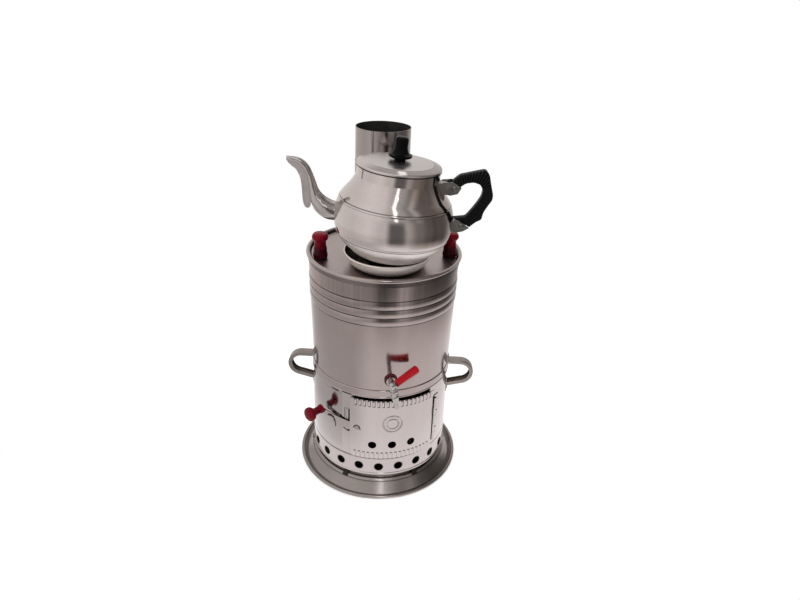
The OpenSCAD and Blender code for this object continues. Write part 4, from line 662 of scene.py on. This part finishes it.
mats = {
    "tank": tank_material(), "fire": fire_material(), "tray": tray_material(), "lid": lid_material(),
    "rim": rim_material(), "lid_knobs": lid_knob_material(), "ribbed": ribbed_material(),
    "seat": seat_material(), "pipe": pipe_material(), "pot": pot_material(), "pot_lid": pot_lid_material(),
    "door": steel("door_steel", (0.555, 0.50, 0.497), 0.12, UP, 500, 0.025, 0.05, 0.12, 13, True,
                  door_shade_lines).mat,
    "strap": steel("strap_steel", (0.50, 0.44, 0.43), 0.14, UP, 300, 0.05, 0.05, 0.12, 13, True,
                   latch_marks).mat,
    "inner": steel("inner_steel", (0.3, 0.28, 0.27), 0.4, EVEN, 120, 0.12, 0.2).mat,
    "fastener": steel("fastener_steel", (0.42, 0.39, 0.38), 0.25, EVEN, 200, 0.12, 0.1).mat,
    "handle": steel("handle_steel", (0.29, 0.255, 0.24), 0.15, EVEN, 160, 0.06, 0.14, 0.05, 30).mat,
    "spout": steel("spout_metal", (0.56, 0.53, 0.52), 0.13, EVEN, 140, 0.06, 0.3, 0.45, 55).mat,
    "fin": steel("fin_metal", (0.66, 0.62, 0.61), 0.42, EVEN, 140, 0.08, 0.2, 0.2, 60).mat,
    "bracket": steel("bracket_metal", (0.36, 0.34, 0.335), 0.32, EVEN, 180, 0.16, 0.2, 0.1, 60).mat,
    "chrome": steel("tap_chrome", (0.5, 0.48, 0.47), 0.08, EVEN, 300, 0.06, 0.2, 0.5, 130).mat,
    "brass": steel("brass", (0.6, 0.42, 0.18), 0.3, EVEN, 200, 0.12, 0.15).mat,
    "iron_and_tab_shade": steel("grate_iron", (0.05, 0.045, 0.042), 0.55, EVEN, 120, 0.3, 0.3, 0.3, 60).mat,
    "red": plastic("red_knob", (0.155, 0.0012, 0.0095), 0.08, 0.02, 500, 0.12).mat,
    "grip": plastic("red_grip", (0.36, 0.004, 0.009), 0.14, 0.04, 500, coat=0.1).mat,
    "black": plastic("black_plastic", BLACK, 0.2, 0.03, 700, 0.05).mat,
    "rubber": plastic("seal_rubber", (0.11, 0.012, 0.016), 0.5, 0.3, 600).mat,
}

DRESS = {
    "tray": ("base_tray", "foot_ring"),
    # painted shade: the foot tabs take the near-black grate iron, as they sit in the shadow gap under the
    # body's bead
    "iron_and_tab_shade": ("foot_tabs", "fire_grate"),
    "fire": ("firebox_shell", "door_frame_strip", "hinge_leaf"),
    "inner": ("grate_ledge", "tank_floor", "lid_ledge"),
    "fastener": ("latch_catch", "hinge_pin", "latch_rivet", "latch_knob_screw", "lid_knob_screws",
                 "handle_rivets", "pot_rivets", "pot_knob_screw"),
    "door": ("door_panel",),
    "strap": ("latch_strap",),
    "red": ("latch_knob",),
    "tank": ("seam_band", "tank_shell"),
    "rim": ("tank_rim",),
    "pipe": ("flue_pipe", "chimney_pipe"),
    "lid": ("lid_plate",),
    "seat": ("pot_seat",),
    "lid_knobs": ("lid_knob_left", "lid_knob_right"),
    "rubber": ("tap_washer", "tap_inner_washer"),
    "brass": ("tap_nut",),
    "chrome": ("tap_body", "tap_plug", "tap_lever"),
    "grip": ("tap_grip",),
    "handle": ("left_handle", "right_handle", "handle_plates"),
    "pot": ("pot_body",),
    "spout": ("pot_spout",),
    "bracket": ("pot_upper_bracket", "pot_lower_bracket"),
    "black": ("pot_handle", "pot_knob"),
    "pot_lid": ("pot_lid",),
}
for key, names in DRESS.items():
    for name in names:
        slots = nodes[name].data.materials
        slots.clear()
        slots.append(mats[key])

# ------------------------------ tray
tray_path = ([(0, 0), (60, 0)] + arc(88, 5, 5, -90, -20, 10) + arc(104.5, 16.5, 5.2, 165, 42, 24)
             + bez((110.6, 17.2), (114.6, 11.2), (121.9, 2.9), 14) + arc(127.3, 3.2, 2.4, 140, -150, 36))
lathe("tray_sheet", thicken(tray_path, SHEET), "body", mats["tray"],
      turn(0), 200, ("base_tray",))

# ------------------------------ tank wall with its ribs
RIB_STEPS = 24
rib = []
for k in range(RIB_COUNT * RIB_STEPS + 1):
    z = RIB_Z0 + k * RIB_H / RIB_STEPS
    rib.append((tank_r(z) + RIB_OUT * abs(math.sin(math.pi * k / RIB_STEPS)) ** RIB_POWER, z))
rib_start, rib_end = RIB_Z0 - RIB_EASE, TANK_Z1 - RIB_DOWN + RIB_EASE
tank_path = ([(TANK_R0, TANK_Z0), (tank_r(rib_start), rib_start)] + rib
             + [(tank_r(rib_end), rib_end), (TANK_R1, TANK_Z1)])
lathe("tank_wall", thicken(tank_path, SHEET), "body", mats["tank"],
      turn(0), 220, ("tank_shell",))


# ------------------------------ knobs
def knob_outline(h, foot, waist, head):
    return ([(0, 0), (foot - 2.4, 0)]
            + bez((foot - 1.2, 0.6), (foot + 0.6, h * 0.1), (foot - 1.4, h * 0.26), 10)
            + bez((waist + 1.4, h * 0.4), (waist - 0.6, h * 0.56), (waist + 0.8, h * 0.7), 10)
            + bez((head * 0.92, h * 0.76), (head * 1.1, h * 0.85), (head * 0.86, h * 0.95), 12)
            + bez((head * 0.74, h * 0.985), (head * 0.66, h * 0.99), (head * 0.6, h * 0.975), 4)
            + bez((head * 0.5, h * 0.985), (head * 0.3, h), (0, h), 5))


KNOB_AZ, KNOB_OUT, LID_TOP = 77, 95.4, 360.85
for side, name in ((-1, "left"), (1, "right")):
    lathe(f"knob_{name}", knob_outline(h=37, foot=10.8, waist=8, head=11.6), "lid",
          mats["lid_knobs"], LID @ at_az(side * KNOB_AZ, KNOB_OUT, LID_TOP), 72, (f"lid_knob_{name}",))

# the latch knob stands at the end of the curved strap
LATCH_AZ, LATCH_Z, LATCH_SLOPE = -25.2, 118.5, 5
STRAP_CURVE, LATCH_REACH = 145, 64
STRAP_OFF, ARM_MID = 1.35, 2.75         # the strap off the wall, and its middle over the rivet
KNOB_OFF = 1.05                         # the strap's sheet and a gap
strap_turn = math.degrees(math.asin(LATCH_REACH / STRAP_CURVE))
STRAP_END = (at_az(LATCH_AZ, fire_r(LATCH_Z) + STRAP_OFF, LATCH_Z) @ turn(LATCH_SLOPE, "Y")
             @ shift(0, STRAP_CURVE, ARM_MID) @ turn(-strap_turn) @ shift(0, -STRAP_CURVE, 0))
L, K = 27, 11                   # length and radius of the latch knob
latch_outline = ([(0, 0), (7.3, 0)] + bez((7.3, 1), (4.3, L * 0.32), (K * 0.62, L * 0.56), 12)
                 + bez((K * 0.72, L * 0.62), (K * 0.98, L * 0.68), (K * 1.0, L * 0.8), 8)
                 + bez((K * 1.0, L * 0.86), (K * 0.99, L * 0.93), (K * 0.86, L * 0.955), 5)
                 + bez((K * 0.82, L * 0.965), (K * 0.78, L * 0.955), (K * 0.74, L * 0.945), 4)
                 + bez((K * 0.6, L * 0.97), (K * 0.3, L * 0.99), (0, L * 0.99), 5))
lathe("latch_turned_knob", latch_outline, "latch", mats["red"],
      STRAP_END @ shift(0, -KNOB_OFF, 0) @ OUTWARD, 72, ("latch_knob",))

# ------------------------------ tap grip
TAP_Y, TAP_Z, TAP_ROLL = -142.523, 206.2, -11.5
LEVER_UP, LEVER_TURN, LEVER_DIP = 14.5, 123, -2
GRIP_FROM = 6.2
TAP = shift(0, TAP_Y, TAP_Z) @ turn(TAP_ROLL, "Y")
LEVER = TAP @ shift(0, 0, LEVER_UP) @ turn(LEVER_TURN) @ turn(LEVER_DIP, "X")
grip_outline = ([(2.06, 0), (4.2, 0)] + bez((4.6, 0.1), (5.0, 0.2), (5.05, 1.2), 4)
                + bez((5.4, 16), (6.0, 32), (6.0, 36.5), 8) + bez((6.0, 38.4), (5.8, 40), (3.4, 40), 8)
                + [(0, 40), (0, 30), (2.06, 30)])
lathe("tap_handle_grip", grip_outline, "tap_valve", mats["grip"],
      LEVER @ shift(0, -GRIP_FROM, 0) @ OUTWARD, 64, ("tap_grip",))

# ------------------------------ lid seat
SEAT_Z, SEAT_TOP, SEAT_RIM = 360.9, 382.4, 1.5
SEAT = LID @ shift(0, SEAT_Y, 0)
seat_path = ([(39, SEAT_Z), (43.2, SEAT_Z)]
             + bez((44.6, SEAT_Z + 0.6), (57.9, SEAT_Z + 7.5), (59.0, SEAT_TOP - 2.1), 16))
seat = lathe_bm(thicken(seat_path, SHEET), SEAT, 160)
lathe_bm(arc(59.9, SEAT_TOP - SEAT_RIM, SEAT_RIM, 0, 337.5, 15), SEAT, 160, seat)
to_object("seat_bowl", seat, "lid", mats["seat"], replaces=("pot_seat",))

# ------------------------------ teapot
CONE_R = 46.5 + 1.0199 * 20
SHOULDER = (66.85, 89)
SEAMS = (33.0, 78.5)
pot_path = ([(0, 0), (30, 0), (45.0, 0), (46.2, 0.4), (46.9, 1.2)]
            + bez((CONE_R, 20), (BELLY_R, 32.4), (BELLY_R, BELLY_Z), 28)
            + bez((BELLY_R, BELLY_Z), (BELLY_R, 75), SHOULDER, 26)[1:]
            + bez(SHOULDER, (57.9, 100), (NECK_R, 110), 18)[1:] + [(NECK_R, POT_H)])


def with_beads(path, heights, out=0.42, half=1.3):
    """Adds a small rolled bead to the path at each height."""
    dense = [path[0]]
    for a, b in zip(path, path[1:]):
        low, high = min(a[1], b[1]) - 3, max(a[1], b[1]) + 3
        near_bead = a[0] > 50 and any(low < z < high for z in heights)
        steps = max(1, int(math.hypot(b[0] - a[0], b[1] - a[1]) / 0.5)) if near_bead else 1
        for k in range(1, steps + 1):
            t = k / steps
            dense.append((a[0] + (b[0] - a[0]) * t, a[1] + (b[1] - a[1]) * t))
    lifted = []
    for r, z in dense:
        for centre in heights:
            d = abs(z - centre)
            if d < half:
                r += out * math.cos(math.pi * d / half / 2) ** 2
        lifted.append((r, z))
    return lifted


lathe("teapot_wall", thicken(with_beads(pot_path, SEAMS), POT_SHEET), "teapot",
      mats["pot"], POT, 220, ("pot_body",), sharp=40)

# lid of the teapot: a rounded edge of radius 2.6 round a low crown that rises 3.85
POT_LID_R, EDGE_R, RISE = 55.6, 2.6, 3.85
REST_Z, BEND_IN, CONTACT = 125.1, 1.8, 1.3      # the inside of the edge rests on the teapot's mouth
edge_x, edge_z = POT_LID_R - EDGE_R, REST_Z - math.sqrt(BEND_IN ** 2 - CONTACT ** 2)
lid_top = edge_z + EDGE_R + RISE
crown = (edge_x * 0.79, lid_top - RISE * 0.25)
pot_lid_path = ([(POT_LID_R, edge_z - 2.4), (POT_LID_R, edge_z - 0.8)]
                + arc(edge_x, edge_z, EDGE_R, 0, 66, 12)
                + bez((crown[0] + 2, crown[1] - 0.42), crown, (crown[0] - 3, crown[1] + 0.22), 5)
                + bez((crown[0] - 5, crown[1] + 0.32), (edge_x * 0.45, lid_top), (11, lid_top), 12)
                + [(2.05, lid_top)])
lathe("teapot_lid_cap", thicken(pot_lid_path, SHEET), "teapot_lid", mats["pot_lid"], POT, 200,
      ("pot_lid",))
KR, KH, KS = 15.4, 30, 15.4 * 0.6       # radius, height and stem radius of the teapot's knob
pot_knob_outline = ([(0, 0), (KS - 1.8, 0), (KS - 1.3, KH * 0.085)]
                    + bez((KS - 0.8, KH * 0.1), (KR, KH * 0.105), (KR, KH * 0.2), 12)
                    + bez((KR - 0.1, KH * 0.253), (KS + 1.2, KH * 0.28), (KS + 0.4, KH * 0.42), 12)
                    + bez((KS - 0.5, KH * 0.5), (KS - 0.9, KH * 0.62), (KS - 0.5, KH * 0.74), 6)
                    + bez((KS - 0.4, KH * 0.84), (KS - 0.5, KH * 0.97), (KS * 0.5, KH * 0.99), 12)
                    + bez((KS * 0.4, KH), (KS * 0.2, KH), (0, KH), 4))
lathe("teapot_turned_knob", pot_knob_outline, "teapot_lid", mats["black"],
      POT @ shift(0, 0, lid_top + 0.05), 72, ("pot_knob",))


# ------------------------------ teapot spout and its fin
def spout_piece():
    """A tube of round sections (outwards, up, radius) from the belly, open and hollow at its tip."""
    shape = [(-3.5, -1, 12.8), (4.6, -0.4, 13.2), (11.2, 2, 13), (18, 7.2, 11.8), (24, 15.5, 9),
             (27.9, 24.5, 6.4), (30.9, 35, 5), (34.8, 45, 4.5), (40.1, 54.2, 4.5), (47.1, 59.8, 4.3),
             (55.6, 62, 3.7), (64.6, 62.4, 3.1)]
    wall, sides, bore_steps = 0.9 * MM, 32, 16
    across = Vector((0, 1, 0))
    pts = spline(shape, 7)
    centres, radii, normals = [], [], []
    for i, (x, z, r) in enumerate(pts):
        a, b = pts[max(i - 1, 0)], pts[min(i + 1, len(pts) - 1)]
        d = Vector((-(b[0] - a[0]), 0, b[1] - a[1])).normalized()
        centres.append(Vector((-(BELLY_R + x), 0, BELLY_Z + z)) * MM)
        radii.append((r - 0.05) * MM)
        normals.append(d.cross(across))
    # back down inside the tip
    back = len(centres) - bore_steps
    centres += [centres[-1]] + centres[:back:-1]
    radii += [radii[-1] - wall] + [r - wall for r in radii[:back:-1]]
    normals += [normals[-1]] + normals[:back:-1]
    bm = bmesh.new()
    rings = []
    for c, r, up in zip(centres, radii, normals):
        angles = [2 * math.pi * k / sides for k in range(sides)]
        rings.append([bm.verts.new(c + (up * math.cos(a) + across * math.sin(a)) * r) for a in angles])
    skin(bm, rings)
    bmesh.ops.transform(bm, matrix=POT, verts=bm.verts)
    to_object("teapot_cast_spout", bm, "teapot", mats["spout"], 40, ("pot_spout",))


def fin_piece():
    """The leaf-shaped fin under the spout, thin towards its rim."""
    leaf = spline([(63.1, 59.6), (57, 54.6), (51.1, 50.3), (47.4, 44.4), (44.7, 38.2), (42.6, 27),
                   (41.2, 14.6), (39.6, 6), (37.3, 1.7), (35, 0.6), (33.2, 1.7), (32.2, 5.1), (32.4, 18),
                   (33.4, 30), (37, 43), (43, 52.6), (50, 58.6), (63.1, 59.6)], 4)[:-1]
    bm = bmesh.new()
    rings = []
    for y, inset in ((-1.5, 1.2), (-1.2, 0.45), (-0.5, 0.05), (0.5, 0.05), (1.2, 0.45), (1.5, 1.2)):
        ring = []
        for i, (x, z) in enumerate(leaf):
            a, b = leaf[i - 1], leaf[(i + 1) % len(leaf)]
            d = Vector((b[0] - a[0], b[1] - a[1])).normalized()
            point = Vector((-(BELLY_R + x - d.y * inset), y, BELLY_Z + z + d.x * inset))
            ring.append(bm.verts.new(point * MM))
        rings.append(ring)
    skin(bm, rings)
    bm.faces.new(rings[0][::-1])
    bm.faces.new(rings[-1])
    bmesh.ops.transform(bm, matrix=POT, verts=bm.verts)
    to_object("teapot_spout_fin", bm, "teapot", mats["fin"], 40)


spout_piece()
fin_piece()


# ------------------------------ teapot handle, moulded and ribbed
def rounded(points, cut):
    """Rounds every corner of a closed outline."""
    out = []
    for i, point in enumerate(points):
        p0, p1, p2 = Vector(points[i - 1]), Vector(point), Vector(points[(i + 1) % len(points)])
        a = p1 + (p0 - p1).normalized() * min(cut, (p0 - p1).length * 0.4)
        b = p1 + (p2 - p1).normalized() * min(cut, (p2 - p1).length * 0.4)
        out += bez(tuple(a), tuple(p1), tuple(b), 3)
    return out


def pot_grip_piece():
    """Its outline is drawn from the upper pin, and its lower part follows the lower pin."""
    pin, low = (NECK_R + 19.9, 102), (BELLY_R + 10.5, BELLY_Z - 2.3)
    drawn = (15.7, -49.3)       # the lower pin, seen from the upper one, in the outline as drawn
    outer = [(-3.8, 8.5), (5.2, 18), (15.5, 21.2), (26.6, 24.9), (37.7, 28.2), (43.4, 22.1), (48, 8.1),
             (52.2, -3.5), (52.2, -10.5), (47.7, -18.9), (43.4, -28.3), (42.5, -38.2), (34.7, -43.2),
             (27.3, -51.2)]
    inner = [(17.8, -45), (10.6, -44.4), (6.5, -39.9), (20.7, -37), (27.6, -26.4), (33.5, -16), (37.2, -7.7),
             (37.8, 1), (32.8, 8.2), (24, 10.3), (14.3, 7.9), (8.4, 3), (2, -4.4), (-4, -5.6), (-6.6, 2)]

    def place(q):
        t = max(0, min(1, q[1] / drawn[1]))
        return tuple(pin[k] + q[k] + (low[k] - pin[k] - drawn[k]) * t for k in range(2))

    line = rounded([place(q) for q in outer + inner], 2.6)
    bm = bmesh.new()
    rings = []
    # narrower towards both faces, so that the rod looks round
    faces = ((5.4, 0.35), (6.9, 1.2), (7.45, 2.3))
    for y, shrink in [(-y, s) for y, s in faces[::-1]] + [(-3, 0.05), (3, 0.05)] + list(faces):
        ring = []
        for i, point in enumerate(line):
            d = (Vector(line[(i + 2) % len(line)]) - Vector(line[i - 2])).normalized()
            q = Vector(point) - Vector((-d.y, d.x)) * shrink
            ring.append(bm.verts.new(Vector((q.x, y, q.y)) * MM))
        rings.append(ring)
    skin(bm, rings)
    bm.faces.new(rings[0][::-1])
    bm.faces.new(rings[-1])
    bmesh.ops.transform(bm, matrix=POT, verts=bm.verts)
    to_object("teapot_moulded_handle", bm, "teapot", mats["ribbed"], 38, ("pot_handle",))


pot_grip_piece()


# ------------------------------ side handles, bent channels
def side_handle_piece(name, az):
    """The channel runs out level from the wall, round one bend and back down a slope."""
    out, top, height, slope_deg = 148.5, 182.4, 48.4, 15.0
    root_top, root_low = 108.7, 108.8
    slope = deg(slope_deg)
    k = 1 / math.cos(slope)
    bend = (height - math.tan(slope) * (out - FIRE_R0)) / (1 + k - math.tan(slope))
    cx, cz = out - bend, top - bend
    # each point: radius, height and the inward direction
    path = [(root_top + (cx - root_top) * i / 4, top, 0, -1) for i in range(5)]
    for i in range(1, 37):
        a = deg(90 - (180 - slope_deg) * i / 36)
        path.append((cx + bend * math.cos(a), cz + bend * math.sin(a), -math.cos(a), -math.sin(a)))
    ex, ez, nx, nz = path[-1]
    for i in range(1, 5):
        x = ex + (root_low - ex) * i / 4
        path.append((x, ez + (x - ex) * math.tan(slope), nx, nz))
    half, depth, t = 7.25, 6.0, 1.2
    section = ([(-half, depth)] + bez((-half, 1.7), (-half, 0.0), (-half + 1.7, 0.0), 5)
               + bez((half - 1.7, 0.0), (half, 0.0), (half, 1.7), 5) + [(half, depth), (half - t, depth)]
               + bez((half - t, 1.9), (half - t, t), (half - t - 0.9, t), 3)
               + bez((-half + t + 0.9, t), (-half + t, t), (-half + t, 1.9), 3) + [(-half + t, depth)])
    a = deg(az)
    outward, across = Vector((math.sin(a), -math.cos(a), 0)), Vector((math.cos(a), math.sin(a), 0))
    bm = bmesh.new()
    rings = []
    for r, z, inr, inz in path:
        rings.append([bm.verts.new((outward * (r + inr * d) + across * w + Vector((0, 0, z + inz * d))) * MM)
                      for w, d in section])
    skin(bm, rings)
    bm.faces.new(rings[0])
    bm.faces.new(rings[-1][::-1])
    to_object(name, bm, "body", mats["handle"], 40, (name.replace("_loop", ""),))


side_handle_piece("left_handle_loop", -101)
side_handle_piece("right_handle_loop", 79)


# ------------------------------ studio
class Studio(Graph):
    """The floor's and the world's nodes. Each shows the camera, the metal and the rest something else."""

    def __init__(self, tree):
        super().__init__(tree)
        tree.nodes.clear()
        self.path = self.new("ShaderNodeLightPath")

    def shade(self, a, b, fac):
        return self.feed(self.new("ShaderNodeMixShader"), ((0, fac), (1, a), (2, b)))

    def light(self, kind, colour=(1, 1, 1), strength=1.0):
        return self.feed(self.new(kind), (("Color", colour), ("Strength", strength)))

    def room(self, x, y, z=None):
        """What polished metal sees of the room: dark low in front and on the right, paler elsewhere."""
        around = self.math("ADD", self.math("DIVIDE", self.math("ARCTAN2", x, y), 2 * math.pi), 0.5)
        # 0 and 1 lie towards the camera, 0.25 is the left, 0.5 is behind the object, 0.75 the right
        warm = (1, 0.965, 0.94)
        low = self.ramp(around, [(0.0, 0.16), (0.035, 0.16), (0.062, 0.75), (0.09, 0.75), (0.15, 0.95),
                                 (0.25, 0.8), (0.35, 0.9), (0.5, 0.85), (0.65, 0.6), (0.72, 0.2),
                                 (0.8, 0.16), (0.87, 0.32), (0.905, 0.36), (0.925, 0.5), (0.95, 0.55),
                                 (0.975, 0.18), (1.0, 0.16)], warm)
        if z is None:
            return low
        high = self.ramp(around, [(0.0, 0.5), (0.04, 0.62), (0.1, 0.92), (0.2, 1.0), (0.32, 0.85),
                                  (0.45, 0.85), (0.6, 0.85), (0.68, 0.6), (0.76, 0.2), (0.84, 0.22),
                                  (0.88, 0.62), (0.915, 0.3), (0.96, 0.5), (1.0, 0.5)], warm)
        return self.mix(self.soft(z, 0.1, 0.5), low, high)

    def close(self, kind, rest, metal, camera):
        """Ends in an output that picks a shader by the kind of ray."""
        shader = self.shade(rest, metal, self.path.outputs["Is Glossy Ray"])
        shader = self.shade(shader, camera, self.path.outputs["Is Camera Ray"])
        self.nt.links.new(shader, self.new(kind).inputs["Surface"])


def floor_material():
    """A pale floor. The camera sees its soft shadow melt into white; metal sees it melt into the room."""
    mat = bpy.data.materials.new("pale_floor")
    mat.use_nodes = True
    n = Studio(mat.node_tree)
    place = n.new("ShaderNodeTexCoord").outputs["Object"]
    away = n.vector("LENGTH", place, output="Value")
    x, y, _ = n.xyz(n.vector("NORMALIZE", place))
    plain = n.feed(n.new("ShaderNodeBsdfDiffuse"), (("Color", (0.8, 0.8, 0.8)),))
    glow = n.light("ShaderNodeEmission", strength=0.42)
    lit = n.feed(n.new("ShaderNodeAddShader"), ((0, plain), (1, glow)))
    near = n.mix(n.soft(x, -0.3, -0.8), (1, 0.975, 0.96), (0.66, 0.65, 0.64))
    seen = n.mix(n.soft(away, 0.44, 0.8), near, n.room(x, y))
    # a darker ring, which the top of the tank mirrors
    ring = n.between(away, 0.42, 0.6, 1.3, 0.9)
    seen = n.mix(1.0, seen, n.mix(ring, (1, 1, 1), (0.86, 0.84, 0.83)), "MULTIPLY")
    for_metal = n.shade(lit, n.light("ShaderNodeEmission", seen), n.soft(away, 0.12, 0.3))
    for_camera = n.shade(lit, n.light("ShaderNodeEmission"), n.soft(away, 0.2, 0.62))
    n.close("ShaderNodeOutputMaterial", plain, for_metal, for_camera)
    return mat


def lay_floor():
    radius, sink = 14, 0.0004
    me = bpy.data.meshes.new("floor")
    bm = bmesh.new()
    bmesh.ops.create_circle(bm, cap_ends=True, segments=96, radius=radius)
    bm.to_mesh(me)
    bm.free()
    floor = bpy.data.objects.new("floor", me)
    floor.location.z = -sink
    bpy.context.scene.collection.objects.link(floor)
    me.materials.append(floor_material())


def world_light():
    """White for the camera, a soft even light for matt things, and a room with a window for metal."""
    world = bpy.data.worlds.new("studio")
    bpy.context.scene.world = world
    world.use_nodes = True
    n = Studio(world.node_tree)
    x, y, z = n.xyz(n.new("ShaderNodeTexCoord").outputs["Generated"])
    in_front = n.soft(y, -0.2, -0.3)
    window = n.both(n.close_to(x, -0.04, 0.06, 0.035), n.between(z, 0.3, 0.4, 0.97, 0.9), in_front)
    lamp = n.both(n.close_to(x, -0.02, 0.035, 0.02), n.close_to(z, 0.74, 0.03, 0.018), in_front)
    room = n.mix(window, n.room(x, y, z), (2.2, 2.18, 2.15))
    room = n.mix(lamp, room, (9, 8.8, 8.5))
    kind = "ShaderNodeBackground"
    n.close("ShaderNodeOutputWorld", n.light(kind, strength=0.55), n.light(kind, room), n.light(kind))


LAMP_AIM = Vector((0, 0, 0.3))


def area(name, place, size, power):
    """A round lamp that points at the middle of the body and shows in no mirror image."""
    lamp = bpy.data.lights.new(name, "AREA")
    lamp.shape = "DISK"
    lamp.size = size
    lamp.energy = power
    ob = bpy.data.objects.new(name, lamp)
    ob.location = place
    ob.rotation_euler = (LAMP_AIM - Vector(place)).to_track_quat("-Z", "Y").to_euler()
    bpy.context.scene.collection.objects.link(ob)
    ob.visible_glossy = False


lay_floor()
world_light()
area("key", (-1.1, -1.3, 1.9), 0.9, 22)
area("fill", (1.6, -0.7, 1.3), 1.2, 9)
area("top", (0.2, 0.6, 2.2), 1.2, 12)


# ------------------------------ camera, at the photograph's view
def camera():
    focal_px, photo_w = 614.65, 800
    pitch, yaw, roll, round_object = deg(26.97), deg(1.804), deg(2.626), deg(-8.2)
    place = Vector((0, -0.83655, 0.70687))
    cam = bpy.data.cameras.new("camera")
    cam.sensor_fit = "HORIZONTAL"
    cam.sensor_width = 36
    cam.lens = focal_px * cam.sensor_width / photo_w
    cam.clip_end = 100
    ob = bpy.data.objects.new("camera", cam)
    bpy.context.scene.collection.objects.link(ob)
    forward = Vector((math.sin(yaw) * math.cos(pitch), math.cos(yaw) * math.cos(pitch), -math.sin(pitch)))
    right = Vector((math.cos(yaw), -math.sin(yaw), 0))
    up = right.cross(forward)
    rolled_right = math.cos(roll) * right + math.sin(roll) * up
    rolled_up = -math.sin(roll) * right + math.cos(roll) * up
    own = Matrix.Rotation(round_object, 3, "Z")
    m = Matrix([own @ rolled_right, own @ rolled_up, -(own @ forward)]).transposed().to_4x4()
    m.translation = own @ place
    ob.matrix_world = m
    bpy.context.scene.camera = ob


camera()
bpy.context.scene.view_settings.view_transform = "Standard"
